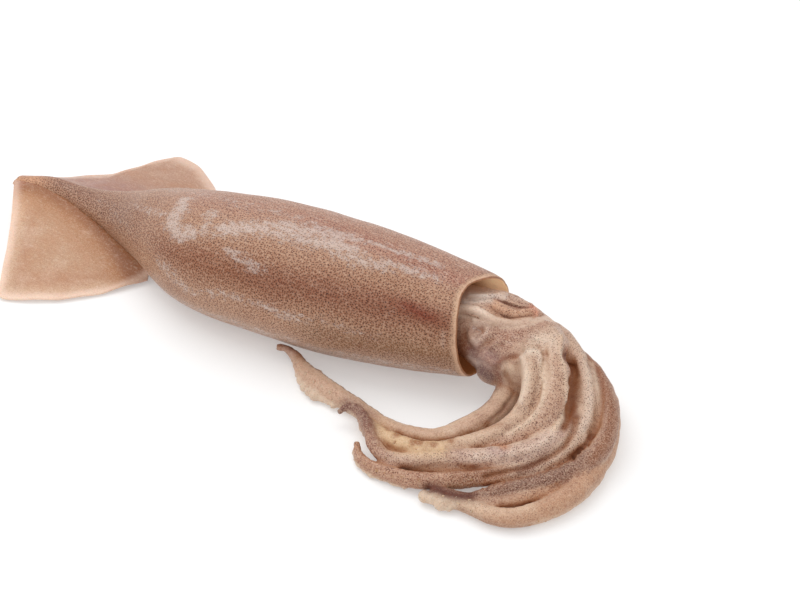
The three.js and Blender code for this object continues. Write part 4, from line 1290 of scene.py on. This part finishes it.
# %% Stripes along single limbs
BLOTCH_SPACING = 0.052  # as a share of the tentacle's length
tentacle = on_limb * (crown_limb == SOCK_NUMBER["near_tentacle"])
blotch = smoothstep(0.1, 0.8, np.sin(2 * np.pi * crown_s / BLOTCH_SPACING))
blotch = blotch * smoothstep(0.24, 0.30, crown_s) * smoothstep(0.72, 0.62, crown_s)
paint = lay(paint, (146, 98, 58), 0.85 * tentacle * blotch * np.exp(-((crown_turn - 46) / 15) ** 2))
paint = lay(paint, (138, 98, 88), 0.8 * tentacle * np.exp(-((crown_turn + 48) / 12) ** 2))
dark_edged = np.isin(crown_limb, [SOCK_NUMBER[name] for name in ("covered_arm", "outer_arm", "low_arm")])
outer_edge = on_limb * dark_edged * np.exp(-((crown_turn + 40) / 12) ** 2)
paint = lay(paint, (142, 102, 90), 0.6 * outer_edge * smoothstep(0.4, 0.55, crown_s))
# painted shade on the root of the covered arm, down in the gap
shaded_hidden_root = on_limb * (crown_limb == SOCK_NUMBER["covered_arm"]) * smoothstep(0.34, 0.25, crown_s)
paint = lay(paint, (112, 50, 18), shaded_hidden_root)
print("points on blotches:", int((tentacle * blotch > 0.5).sum()))

# %% [markdown]
# The lines that were raised or sunk are painted too: an edge of an arm catches the light, so it
# gets a painted highlight, and a gap or a hollow gets painted shade, orange to dark brown. Later rows
# of the table lie over earlier ones, as in any painting.

# %% Paint the lines of the heap
HEAD_PAINT = [  # tone, strength, width and the line it follows
    ((142, 88, 62), 0.85, 5.5, [(107, -1, 33.4), (112, 2, 34.8), (116, 7, 35)]),
    ((198, 172, 152), 0.8, 4.5, [(116, -3, 33.5), (120, 4, 34.5), (121, 10, 33)]),
    ((156, 126, 114), 0.75, 7.0, [(95, -5, 29), (101, -8, 24)]),
    ((186, 160, 146), 0.7, 2.4, [(92, -2, 32.2), (96, -0.5, 33.6)]),
    ((140, 108, 104), 0.8, 3.4, [(94, -6.5, 26.5), (99, -7.6, 24.0), (102, -7.0, 26.0)]),
    ((184, 162, 156), 0.8, 1.6, [(96.5, -7.2, 24.4), (101, -7.4, 25.6)]),
    ((216, 194, 180), 0.7, 0.9, V_FOLD),
    ((104, 66, 60), 0.6, 0.8, [(92.4, -7.6, 26.4), (95.6, -8.0, 22.0), (99.6, -8.6, 18.6)]),
    # painted shade in the cheek's hollow
    ((118, 84, 76), 0.7, 0.9, CHEEK_HOLLOW),
    ((122, 86, 88), 0.75, 2.6, [(92, -7.5, 24), (97, -8.5, 21.5), (103, -9.6, 19.4), (108.4, -8.9, 17.0)]),
    ((88, 58, 60), 0.9, 3.4, [(98, -8.6, 18.6), (104.3, -9.7, 18.2), (108.6, -8.7, 15.8)]),
    ((128, 92, 92), 0.75, 2.2, [(104.5, -7.8, 26.6), (107.6, -8.6, 23.6)]),
    ((150, 110, 98), 0.7, 2.6, [(99, -7.4, 26), (103, -8.0, 24)]),
    # painted shade in the crown's crack
    ((130, 72, 50), 0.85, 1.0, CROWN_CRACK),
    ((206, 180, 158), 0.8, 3.0, [(112, -8.6, 24.2), (116, -8.6, 25.8)]),
    ((196, 166, 142), 0.6, 4.0, [(113, -11, 19), (114, -15, 15)]),
    # painted shade at the foot of arm B, then painted highlights on its left edge, top and right edge
    ((116, 76, 52), 0.75, 1.0, ARM_B_FOOT),
    ((224, 206, 190), 0.9, 1.2, ARM_B_LEFT),
    ((224, 208, 192), 0.9, 1.4, ARM_B_TOP),
    ((222, 202, 180), 0.9, 1.0, ARM_B_RIGHT),
    # painted sheen on the undotted flank of the inner arm
    ((206, 178, 156), 0.85, 2.6, UNDOTTED_SHEEN_BAND),
    # painted highlights on the low edge and along the ridge of arm D
    ((218, 196, 182), 0.85, 1.8, LOW_EDGE),
    ((222, 204, 190), 0.7, 1.8, [(136, 10.5, 25.0), (141.5, 5.0, 23.6), (146.2, -1.4, 22.3),
                                 (150.6, -9.0, 20.0), (153.4, -18.0, 17.2)]),
    # painted shade in the hollows of arms B and W
    ((120, 78, 52), 0.6, 0.7, ARM_B_HOLLOW),
    ((120, 78, 52), 0.55, 0.7, ARM_W_HOLLOW[:-1]),
    ((220, 200, 182), 0.85, 2.8, [(119, 3, 34.8), (124.5, 5.6, 35.0), (129, 2.0, 33.8)]),
    # painted highlights on the right edges of arms W and D, then painted shade in the outer gap
    ((212, 186, 162), 0.8, 1.2, ARM_W_RIGHT),
    ((208, 182, 160), 0.7, 1.2, ARM_D_RIGHT),
    ((128, 74, 44), 0.85, 1.8, OUTER_GAP),
    ((160, 114, 84), 0.7, 3.2, [(150, 14, 16), (156, 0, 13), (159, -14, 10)]),
    ((168, 140, 136), 0.8, 1.8, [(127.8, -46.5, 13.7), (132.7, -45.4, 14.1)]),
    ((178, 104, 56), 0.8, 1.6, [(126.9, -40.4, 11.2), (131.6, -42.2, 14.6)]),
    ((210, 178, 138), 0.85, 4.4, [(80.4, -55.2, 9.0), (85.4, -57.6, 9.6), (93.3, -58.7, 9.6),
                                  (101.2, -56.9, 9.3), (108, -53.0, 9.6)]),
    ((148, 96, 60), 0.60, 1.2, [(116.7, -37.6, 12.1), (124.3, -33.5, 16.7)]),
    ((112, 62, 32), 0.85, 1.2, [(119.6, -55.4, 7.8), (125.1, -53.8, 7.2), (132.0, -53.0, 9.8)]),
    ((118, 80, 64), 0.85, 3.6, GRAINY_STRIP),
    # painted sheen along the low arm
    ((138, 84, 50), 0.75, 3.0, [(137.0, -53.4, 7.3), (130.6, -58.0, 5.5), (125.3, -62.8, 5.3)]),
    ((212, 184, 160), 0.6, 2.6, [(126.0, -72.8, 5.6), (136.0, -71.8, 5.8), (148.1, -68.3, 7.2),
                                 (154.9, -61.0, 7.8)]),
    ((168, 118, 88), 0.5, 2.2, [(154.0, -56.0, 8.0), (160.3, -46.7, 8.5), (162.5, -36.0, 9.9)]),
    # painted shade along the low arm's underside, down by the table
    ((146, 100, 76), 0.7, 1.6, [(130.3, -74.6, 3.4), (140.7, -73.6, 3.0), (148.7, -71.4, 2.1),
                                (157.1, -64.3, 1.6)]),
    ((150, 104, 92), 0.7, 1.6, [(112, -52, 12.4), (116, -50.5, 12.8)]),
    # painted shade on the head where it meets the mantle's rim, then in the wide gap
    ((150, 88, 48), 0.8, 2.8, [(88, -3, 28), (88, -6, 22), (91, -8, 14)]),
    ((150, 88, 46), 0.85, 4.0, WIDE_GAP[:-2]),
    ((132, 78, 46), 0.85, 2.4, FAR_FLANK),
    # painted shade in the wide gap, orange at its head and darker in its core, then in the under and flank
    # gaps
    ((196, 128, 74), 0.75, 1.6, [(130.2, 7.3, 31.0), (133.0, 5.0, 28.5), (136.4, 0.5, 26.0)]),
    ((98, 40, 10), 0.95, 2.4, WIDE_GAP[:-1]),
    ((74, 30, 10), 0.85, 1.1, WIDE_GAP[:-1]),
    ((112, 58, 28), 0.95, 1.2, UNDER_GAP),
    ((132, 88, 62), 0.6, 0.9, FLANK_GAP),
    # painted highlights on the edges of arms W and D
    ((224, 202, 180), 0.9, 1.0, ARM_W_RIGHT),
    ((204, 176, 152), 0.5, 0.8, ARM_D_LEFT),
    ((218, 196, 176), 0.8, 1.0, ARM_D_RIGHT),
    ((196, 176, 168), 0.8, 1.6, [(93, -7.4, 21.0), (97, -8.4, 20.4)]),
    ((186, 160, 152), 0.7, 1.2, [(99, -8.0, 22.6), (104, -8.4, 21.0)]),
    ((120, 62, 50), 0.7, 0.9, [(105.5, -8.6, 20.0), (109.0, -8.8, 17.4), (109.8, -9.4, 14.5)]),
]
paint = lay_lines(paint, points, HEAD_PAINT)
print("lines painted:", len(HEAD_PAINT))

# %% [markdown]
# Swollen suckers, the fold round the funnel's foot and the thin membrane behind it are pale and
# have few dots, so each takes away speckle where it lays on its tone.

# %% The fold, the swollen suckers and the membrane
on_fold = (crown_limb == SOCK_NUMBER["funnel_fold"]) * (1 - smoothstep(0.8, 2.4, nearest[:, 1]))
near_swollen = np.zeros(len(points))
for *place, size in SWOLLEN:
    away = np.linalg.norm(points - np.array(place), axis=1) / size
    near_swollen = np.maximum(near_swollen, smoothstep(1.35, 0.85, away))
membrane = np.clip(1.2 * near_line(points, [(82, 8, 37), (88, 10, 37.5), (90, 5, 37)], 4.5), 0, 1)
# the fold is pale skin with a painted highlight along its ridge
paint = lay(paint, (206, 180, 162), 0.85 * on_fold)
paint = lay(paint, (212, 192, 172), 0.9 * near_swollen)
paint = lay(paint, (228, 208, 192), 0.8 * membrane)
speckle *= 1 - 0.8 * shaded_hidden_root
speckle += 0.9 * near_line(points, [(104, -1, 33), (114, 3, 34.8), (118, 6, 34)], 7.0) * (1 - 0.5 * on_limb)
speckle *= 1 - 0.7 * on_fold
speckle *= 1 - 0.9 * near_swollen
speckle *= 1 - 0.8 * membrane
print("points on swollen suckers:", int((near_swollen > 0.5).sum()))

# %% [markdown]
# Painted shade is laid over all that in the measured crevices, from orange in a shallow crease to
# umber in the deepest gap. An ambient occlusion node would darken them too, but it would stay behind
# in Blender when the piece is exported.

# %% Painted shade in the crevices between the limbs
deep = CREVICE["head_and_arms"] * (1 - 0.8 * membrane)
tight = CREASE["head_and_arms"] * (1 - 0.7 * membrane)
paint = lay(paint, (168, 112, 70), 0.6 * smoothstep(0.10, 0.34, deep) * (1 - 0.6 * near_swollen))
paint = lay(paint, (138, 78, 40), 0.75 * smoothstep(0.26, 0.50, deep) * (1 - 0.5 * near_swollen))
paint = lay(paint, (118, 64, 32), 0.75 * smoothstep(0.16, 0.46, tight) * (1 - 0.6 * near_swollen))
paint = lay(paint, UMBER, 0.85 * np.maximum(smoothstep(0.44, 0.74, deep), smoothstep(0.40, 0.70, tight)))
print("deep share of the head and the arms:", round(float((deep > 0.44).mean()), 3))

# %% [markdown]
# Some dark marks have to stay clear of the crevice paint, so they come last: the caps of the
# swollen suckers, the dark curl at one tip and the brown blotches along the front limbs.

# %% Late marks
CAP_LINE = [(114.3, -70.6, 5.2), (118.5, -70.4, 6.0), (122.4, -70.8, 6.2), (127.2, -69.8, 6.4),
            (132.0, -67.4, 6.6)]
FRONT_BLOTCHES = [
    (82.6, -52.2, 8.4), (84.6, -54.0, 9.4), (89.4, -55.8, 10.4), (97.4, -55.9, 10.4), (99.4, -54.8, 10.4),
    (105.2, -52.9, 10.8), (110.2, -47.6, 11.5), (112.0, -36.6, 8.7), (115.3, -29.6, 10.2),
]
LATE_PAINT = [  # tone, strength, width and the line it follows
    ((84, 38, 24), 1.0, 2.4, CAP_LINE),
    ((98, 56, 48), 0.95, 3.2, [(58.7, -53.1, 7.6), (60.2, -49.4, 9.4), (65.1, -49.4, 10.4),
                               (71.0, -52.4, 10.6), (76.6, -57.2, 10.6)]),
    ((132, 88, 72), 0.7, 2.4, [(76.6, -57.2, 10.6), (84.3, -62.8, 10.1)]),
    ((106, 56, 28), 0.85, 1.8, [(141.8, -47.9, 9.9), (144.6, -43.5, 11.2), (147.2, -37.4, 13.3)]),
    ((124, 70, 30), 0.65, 2.4, [(121.3, -62.5, 8.3), (129.5, -56.4, 8.9), (136.8, -50.3, 10.2)]),
    ((186, 156, 142), 0.7, 2.2, [(13.5, -29.0, 6.2), (18.4, -30.0, 6.7)]),
]
smooth_flesh = (crown_limb == SOCK_NUMBER["inner_arm"]) * smoothstep(0.44, 0.60, crown_s)
smooth_flesh = smooth_flesh + (crown_limb == SOCK_NUMBER["keeled_arm"]) * smoothstep(0.60, 0.78, crown_s)
smooth_flesh = on_limb * smooth_flesh
paint = lay(paint, (210, 180, 148), 0.40 * smooth_flesh * (1 - smoothstep(0.1, 0.3, deep)))
paint = lay_lines(paint, points, LATE_PAINT)
on_front = np.isin(crown_limb, [SOCK_NUMBER[name] for name in ("near_tentacle", "inner_arm", "keeled_arm")])
for place in FRONT_BLOTCHES:
    away = np.linalg.norm(points - np.array(place), axis=1) + 0.5 * wobble(points, 1.1, 3.9)
    paint = lay(paint, (146, 92, 50), 0.85 * smoothstep(2.3, 1.1, away) * on_front)
print("head and arms paint, mean:", paint.mean(0).round(3))

# %% [markdown]
# The finish reads five values of each point. Three of them are softened over the neighbours, so
# that no single point of the fused skin stands out.

# %% Keep the values of the head and the arms
CROWN_TONE = (0.97, 0.945, 0.91)  # as MANTLE_TONE, for the head and the arms
SHADED_LINES = [  # the line and its width
    (WIDE_GAP[:-1], 2.4), (UNDER_GAP, 1.4), (OUTER_GAP, 1.8), (FLANK_GAP, 1.3), (CROWN_CRACK, 1.0),
    (CAP_LINE, 2.2),
]
# shade marks the painted shade in the crevices, the gaps and the hidden root, and also the dark caps, so that
# the finish holds back its pale tints and its wet film there
shade = np.maximum(smoothstep(0.12, 0.45, np.maximum(deep, tight)), shaded_hidden_root)
for line, width in SHADED_LINES:
    shade = np.maximum(shade, near_line(points, line, width))
speckle += 0.5 * grainy
speckle *= 1 - 0.9 * near_line(points, [(80.4, -55.2, 9.0), (89.3, -58.7, 9.6), (101.2, -56.9, 9.3)], 4.4)
speckle *= 1 - 0.85 * np.maximum(near_line(points, UNDOTTED_SHEEN_BAND, 3.0), smooth_flesh)
speckle = np.clip(speckle, 0, 1) * (1 - smoothstep(0.3, 0.6, deep))
frost = 0.45 * near_line(points, [(94, -3, 31), (103, -7, 24)], 6.0)
flush = 0.8 * near_line(points, [(106, -2, 32.5), (116, 4, 34.6)], 6.0)
# the last term streaks the painted shade in the crevices with red
flush = flush + 0.5 * on_limb * (crown_limb == SOCK_NUMBER["keeled_arm"]) + 0.4 * smoothstep(0.1, 0.4, deep)
keep_attribute(crown, "shade", soften(crown.data, np.clip(shade, 0, 1), 1))
keep_attribute(crown, "paint", soften(crown.data, paint * CROWN_TONE, 1))
keep_attribute(crown, "speckle", soften(crown.data, speckle, 2))
keep_attribute(crown, "frost", np.clip(frost, 0, 1))
keep_attribute(crown, "flush", np.clip(flush, 0, 1))
print("speckle, mean:", round(float(speckle.mean()), 2), "shade, mean:", round(float(shade.mean()), 2))

# %% [markdown]
# The funnel is painted along the same lines that shaped it: pale strips, painted shade in its
# grooves and a red tinge at its mouth.

# %% Paint the funnel
FUNNEL_PAINT = [  # tone, strength, width and the line it follows
    ((190, 142, 110), 0.9, 2.4, LOW_LIP),
    ((188, 158, 140), 0.9, 1.8, UPPER_LIP),
    # painted shade in the hollow between the pale strips
    ((142, 116, 106), 0.8, 0.8, STRIP_HOLLOW),
    ((224, 208, 196), 0.95, 1.2, PALE_STRIPS[0]),
    ((218, 200, 186), 0.9, 1.1, PALE_STRIPS[1]),
    # painted shade in the slit, its groove and the crease under the lower lip
    ((128, 78, 62), 0.85, 0.6, FUNNEL_SLIT),
    ((146, 104, 88), 0.7, 0.5, LIP_GROOVE),
    ((132, 86, 62), 0.7, 0.6, LIP_CREASE),
    ((204, 134, 110), 0.8, 1.6, [(106.4, 19.5, 36.4), (108.6, 18.4, 35.2)]),
    # painted shade in the side folds
    ((140, 98, 80), 0.5, 0.5, SIDE_FOLDS[0]),
    ((120, 84, 74), 0.6, 0.6, SIDE_FOLDS[1]),
]
points = mesh_points(funnel.data)
x = points[:, 0]
paint = one_tone(points, (176, 136, 112))
paint = lay(paint, (184, 152, 134), 0.7 * smoothstep(96, 88, x))
paint = lay_lines(paint, points, FUNNEL_PAINT)
# painted shade in the funnel's creases and crevices
paint = lay(paint, (120, 72, 46), 0.6 * smoothstep(0.2, 0.5, CREASE["funnel_tube"]))
paint = lay(paint, UMBER, 0.7 * smoothstep(0.45, 0.8, CREVICE["funnel_tube"]))
shade = near_line(points, FUNNEL_SLIT, 1.0) + near_line(points, LIP_CREASE, 1.0)
keep_attribute(funnel, "paint", paint)
keep_attribute(funnel, "shade", np.clip(shade, 0, 1))
keep_attribute(funnel, "speckle", np.clip(0.9 * smoothstep(84, 90, x), 0, 1))
keep_attribute(funnel, "frost", 0.3 * smoothstep(94, 86, x))
keep_attribute(funnel, "flush", 0.5 * smoothstep(94, 104, x))
print("funnel paint, mean:", paint.mean(0).round(3))

# %% [markdown]
# The cups are too small for more than one tone each. It is the tone of their row, with painted
# shade where a cup is hemmed in.

# %% Paint the suckers
TONES = {"clear": (196, 166, 140), "golden": (176, 128, 86), "dusky": (140, 100, 84)}
paint = np.array([srgb(*TONES[tone]) for tone in sucker_tones])
# painted shade where a cup is hemmed in
paint = lay(paint, (160, 110, 76), 0.7 * smoothstep(0.15, 0.5, CREVICE["suckers"]))
keep_attribute(suckers, "paint", paint)
print("sucker paint, mean:", paint.mean(0).round(3))

# %% [markdown]
# ## Finishes
# One small class carries a socket, so that shader sums read as sums. `Skin.node` makes any other
# node: its settings are set first, then the values or links of its sockets.

# %% The shader sums
class Skin:
    def __init__(self, tree, socket=None):
        self.tree, self.socket = tree, socket

    def node(self, kind, settings=None, inputs=None, output=0):
        made = self.tree.nodes.new(kind)
        for name, value in (settings or {}).items():
            setattr(made, name, value)
        for name, value in (inputs or {}).items():
            if isinstance(value, Skin):
                self.tree.links.new(value.socket, made.inputs[name])
            elif value is not None:
                made.inputs[name].default_value = value
        return Skin(self.tree, made.outputs[output] if made.outputs else None)

    def math(self, operation, *values):
        return self.node("ShaderNodeMath", {"operation": operation}, dict(enumerate(values)))

    def __add__(self, other):
        return self.math("ADD", self, other)

    def __sub__(self, other):
        return self.math("SUBTRACT", self, other)

    def __rsub__(self, other):
        return self.math("SUBTRACT", other, self)

    def __mul__(self, other):
        return self.math("MULTIPLY", self, other)

    __radd__, __rmul__ = __add__, __mul__

    def mix(self, amount, first, second):
        return self.node("ShaderNodeMix", {"data_type": "RGBA"}, {0: amount, 6: first, 7: second}, 2)

    def layered(self, layers):
        """This colour, with tones laid over it one after the other, each by its amount."""
        colour = self
        for tone, amount in layers:
            colour = self.mix(amount, colour, (*srgb(*tone), 1))
        return colour

    def step(self, low, high):
        return self.node("ShaderNodeMapRange", {"interpolation_type": "SMOOTHSTEP"},
                         {"Value": self, "From Min": low, "From Max": high})

    def attribute(self, name, output="Fac"):
        settings = {"attribute_type": "GEOMETRY", "attribute_name": name}
        return self.node("ShaderNodeAttribute", settings, None, output)

    def cloud(self, place, scale, detail=3.0, roughness=0.55):
        return self.node("ShaderNodeTexNoise", None,
                         {"Vector": place, "Scale": scale, "Detail": detail, "Roughness": roughness})

    def cells(self, place, scale, randomness=1.0, dimensions="3D"):
        """How far each place is from the middle of its cell."""
        return self.node("ShaderNodeTexVoronoi", {"voronoi_dimensions": dimensions},
                         {"Vector": place, "Scale": scale, "Randomness": randomness})

    def stretched(self, place, along):
        return self.node("ShaderNodeMapping", None, {"Vector": place, "Scale": (along, 1, 1)})


def new_finish(name):
    material = bpy.data.materials.new(name)
    material.use_nodes = True
    material.node_tree.nodes.clear()
    skin = Skin(material.node_tree)
    place = skin.node("ShaderNodeTexCoord", None, None, "Object")
    millimetres = skin.node("ShaderNodeVectorMath", {"operation": "SCALE"}, {0: place, "Scale": 1000.0})
    return material, skin, millimetres


def wet_flesh(skin, colour, roughness, bump, bump_height, scatter, coat=0.28, light=None):
    """The one shader of all the flesh: light spreads a little under it, and a thin wet film is over it."""
    height = skin.node("ShaderNodeBump", None, {"Strength": 1.0, "Distance": bump_height, "Height": bump})
    shader = skin.node("ShaderNodeBsdfPrincipled", None, {
        "Base Color": colour, "Roughness": roughness, "Normal": height, "IOR": 1.36,
        "Subsurface Weight": scatter, "Subsurface Radius": (1.0, 0.5, 0.3), "Subsurface Scale": 0.002,
        "Coat Weight": coat, "Coat Roughness": 0.3, "Coat IOR": 1.34, "Emission Color": light,
        "Emission Strength": 0.0 if light is None else 0.75,
    })
    skin.node("ShaderNodeOutputMaterial", None, {"Surface": shader})


# %% [markdown]
# The skin's speckle is its colour cells: dark brown dots about half a millimetre across, evenly
# scattered, over a much finer rust-coloured grain. A cell texture in millimetres gives one dot per
# cell. On the mantle the cells lie on the unrolled skin, so that every dot is round, and elsewhere
# they fill the space. The frosty patches are ragged and drawn out, and the flushed ones are
# streaked with red.

# %% Speckled skin
def speckled_skin(name, cells, dot_size, dot_tone, dot_amount, blotches, grain_amount, frost_amount,
                  scatter, unrolled=False):
    material, skin, place = new_finish(name)
    paint = skin.attribute("paint", "Color")
    speckle, frost, flush, shade = (skin.attribute(kind) for kind in ("speckle", "frost", "flush", "shade"))
    lit = 1 - shade * 0.85
    broad = skin.cloud(skin.stretched(place, 0.6), 0.10, 5.0, 0.62)
    mottle = skin.cloud(place, 0.42, 5.0, 0.68)
    fine = skin.cloud(place, 1.7, 2.0, 0.6)
    tiny = skin.cloud(place, 3.2, 2.0, 0.7)
    long = skin.cloud(skin.stretched(place, 0.35), 0.55, 5.0, 0.72)
    threads = skin.cloud(skin.stretched(place, 0.16), 0.9, 5.0, 0.8)
    light = None
    if unrolled:
        flat = skin.node("ShaderNodeUVMap", {"uv_map": "unrolled"})
        near = skin.cells(flat, cells, 0.85, "2D")
        small = skin.cells(flat, cells * 1.73, 0.9, "2D")
        light = skin.mix(skin.attribute("glow"), (0, 0, 0, 1), paint)
    else:
        near = skin.cells(place, cells)
        small = skin.cells(place, cells * 1.6)
    size = dot_size * (speckle * 0.4 + 0.6) * (mottle * 0.8 + fine * 0.6 + 0.3)
    dots = ((size - near) * 14.0).step(0.0, 1.0) * speckle.step(0.12, 0.45)
    grain = (1 - small.step(0.12, 0.40)) * (speckle * 0.8 + 0.2)
    between = near.step(0.40, 0.70)
    cloudy = long * 0.36 + mottle * 0.36 + fine * 0.28
    ragged = (cloudy + frost * 0.22).step(0.62, 0.74) * frost.step(0.05, 0.30)
    streaks = threads.step(0.50, 0.66) * flush
    colour = paint.layered([
        ((122, 68, 42), broad.step(0.50, 0.72) * 0.35),
        ((206, 176, 152), (1 - mottle).step(0.50, 0.74) * lit * blotches),
        ((116, 62, 38), mottle.step(0.52, 0.74) * (blotches * 1.2)),
        ((218, 188, 164), (1 - fine).step(0.48, 0.62) * lit * 0.28),
        ((122, 60, 38), fine.step(0.54, 0.68) * 0.30),
        ((128, 54, 38), streaks * 0.50),
        ((218, 190, 178), (1 - threads).step(0.50, 0.66) * flush * lit * 0.42),
        ((128, 66, 40), grain * grain_amount),
        ((220, 192, 168), between * speckle * tiny.step(0.45, 0.60) * lit * 0.42),
        ((208, 192, 184), ragged * frost_amount),
        (dot_tone, dots * (dot_amount - 0.45 * ragged)),
    ])
    rough = 0.46 + 0.14 * fine + 0.12 * ragged
    bump = fine * 0.35 + long * 0.45 + mottle * 0.6 + threads * flush * 0.6 + ragged * 0.2
    wet_flesh(skin, colour, rough, bump, 0.0004, scatter, coat=0.28 - shade * 0.26, light=light)
    return material


# %% The finishes of the mantle, the head and the funnel
mantle_finish = speckled_skin(
    "speckled_mantle_skin", cells=0.90, dot_size=0.25, dot_tone=(54, 22, 12), dot_amount=0.95,
    blotches=0.14, grain_amount=0.20, frost_amount=0.60, scatter=0.08, unrolled=True,
)
HEAD_SKIN = dict(
    cells=1.46, dot_size=0.335, dot_tone=(80, 40, 28), dot_amount=0.86,
    blotches=0.34, grain_amount=0.22, frost_amount=0.6, scatter=0.12,
)
head_finish = speckled_skin("speckled_head_skin", **HEAD_SKIN)
funnel_finish = speckled_skin("speckled_funnel_skin", **HEAD_SKIN)
print("nodes in the mantle's finish:", len(mantle_finish.node_tree.nodes))

# %% [markdown]
# The fins have no dots to speak of. They are smooth, finely mottled in orange, and so thin that
# the edge lets light through and looks paler. The suckers are plain pale flesh.

# %% Fin skin
def fin_skin():
    material, skin, place = new_finish("smooth_fin_skin")
    paint, edge = skin.attribute("paint", "Color"), skin.attribute("edge")
    broad = skin.cloud(place, 0.08, 5.0, 0.6)
    mottle = skin.cloud(skin.stretched(place, 0.8), 0.30, 5.0, 0.66)
    fine = skin.cloud(place, 1.5, 3.0, 0.7)
    weave = skin.cloud(skin.stretched(place, 1.6), 0.9, 4.0, 0.7)
    grain = skin.cloud(place, 2.6, 2.0, 0.7)
    threads = skin.cloud(skin.stretched(place, 0.3), 0.8, 4.0, 0.75)
    colour = paint.layered([
        ((172, 120, 84), broad.step(0.48, 0.70) * 0.28),
        ((212, 182, 160), (1 - broad).step(0.50, 0.70) * 0.28),
        ((178, 120, 84), mottle.step(0.52, 0.72) * 0.22),
        ((218, 190, 168), threads.step(0.52, 0.68) * 0.26),
        ((160, 104, 70), (1 - threads).step(0.54, 0.70) * 0.26),
        ((214, 186, 166), weave.step(0.52, 0.70) * 0.20),
        ((146, 90, 58), fine.step(0.50, 0.66) * 0.36),
        ((222, 196, 176), (1 - fine).step(0.52, 0.66) * 0.20),
        ((140, 84, 54), grain.step(0.54, 0.64) * 0.34),
        ((240, 214, 196), edge * 0.42),
    ])
    bump = broad * 1.2 + mottle * 0.8 + fine * 0.25
    wet_flesh(skin, colour, 0.48 + 0.15 * fine, bump, 0.0004, 0.22)
    return material


# %% Sucker flesh
def sucker_flesh():
    material, skin, place = new_finish("pale_sucker_flesh")
    paint = skin.attribute("paint", "Color")
    fine = skin.cloud(place, 1.5, 3.0, 0.6)
    mottle = skin.cloud(place, 0.5, 3.0, 0.6)
    colour = paint.layered([
        ((150, 106, 78), fine.step(0.5, 0.7) * 0.30),
        ((220, 200, 178), mottle.step(0.5, 0.7) * 0.35),
    ])
    wet_flesh(skin, colour, 0.42 + 0.1 * fine, fine, 0.0002, 0.4)
    return material


# %% Every piece gets its finish
FINISH = {
    "mantle_tube": mantle_finish,
    "fins": fin_skin(),
    "head_and_arms": head_finish,
    "funnel_tube": funnel_finish,
    "suckers": sucker_flesh(),
}
for piece in PIECES:
    piece.data.materials.clear()
    piece.data.materials.append(FINISH[piece.name])
    print(piece.name, "wears", FINISH[piece.name].name)

# %% [markdown]
# ## Into the frame
# Each skin is moved into the frame in its mesh, and kept just inside the solids' own outline.
# Then each piece is told which body it rides on, and the solids of the mantle, the head and the
# funnel are hidden.

# %% Place the pieces
KEPT_IN, KEPT_OFF_TABLE = 5e-5, 2e-5  # metres
low, high = (np.array(c) for c in cad_box)
for piece in PIECES:
    piece.data.transform(PLAN_TO_FRAME)
    points = mesh_points(piece.data)
    over = np.maximum(0, points - (high - KEPT_IN)).max(), np.maximum(0, (low + KEPT_IN) - points).max()
    set_points(piece.data, np.clip(points, low + (KEPT_IN, KEPT_IN, KEPT_OFF_TABLE), high - KEPT_IN))
    print(piece.name, "tucked in by at most, mm:", [round(1000 * float(v), 3) for v in over])
    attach(piece, "root")
for piece, node, slot in (
    (mantle_tube, "mantle", "mantle_skin"), (crown, "head", "head_skin"), (funnel, "funnel", "funnel_skin"),
):
    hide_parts(node)
bpy.data.meshes.remove(cup)

# %% [markdown]
# ## Floor and light
# The squid lies on a plain white table under soft light from above, with a little more from the
# left. The floor is pale enough to read as white, and still takes a soft contact shadow.

# %% Floor
bm = bmesh.new()
bmesh.ops.create_grid(bm, x_segments=2, y_segments=2, size=3.0)
floor = piece_from(bm, "floor", outward=False)
FLOOR_DROP = 0.0002  # metres, so that it never touches the flat underside
floor.data.transform(Matrix.Translation((0, 0, -FLOOR_DROP)))
material, skin, place = new_finish("white_table")
grey = skin.mix(skin.cloud(place, 0.05, 2.0), (0.66, 0.66, 0.66, 1), (0.67, 0.67, 0.67, 1))
shader = skin.node("ShaderNodeBsdfPrincipled", None, {
    "Base Color": grey, "Roughness": 0.9, "Specular IOR Level": 0.1,
    "Emission Color": (1, 1, 1, 1), "Emission Strength": 0.30,
})
skin.node("ShaderNodeOutputMaterial", None, {"Surface": shader})
floor.data.materials.append(material)


# %% Lights
def soft_light(name, place, power, size, target=LOOK_AT):
    data = bpy.data.lights.new(name, "AREA")
    data.energy, data.size = power, size
    light = bpy.data.objects.new(name, data)
    light.location = place
    light.rotation_euler = (Vector(place) - target).to_track_quat("Z", "Y").to_euler()
    bpy.context.scene.collection.objects.link(light)


soft_light("key", place=(-0.55, 0.1, 1.3), power=9, size=1.3)
soft_light("fill", place=(0.5, -1.1, 0.9), power=2.5, size=1.3)
world = bpy.data.worlds.new("studio")
world.use_nodes = True
world.node_tree.nodes["Background"].inputs["Color"].default_value = (1, 1, 1, 1)
world.node_tree.nodes["Background"].inputs["Strength"].default_value = 0.86
bpy.context.scene.world = world
bpy.context.scene.view_settings.view_transform = "Standard"
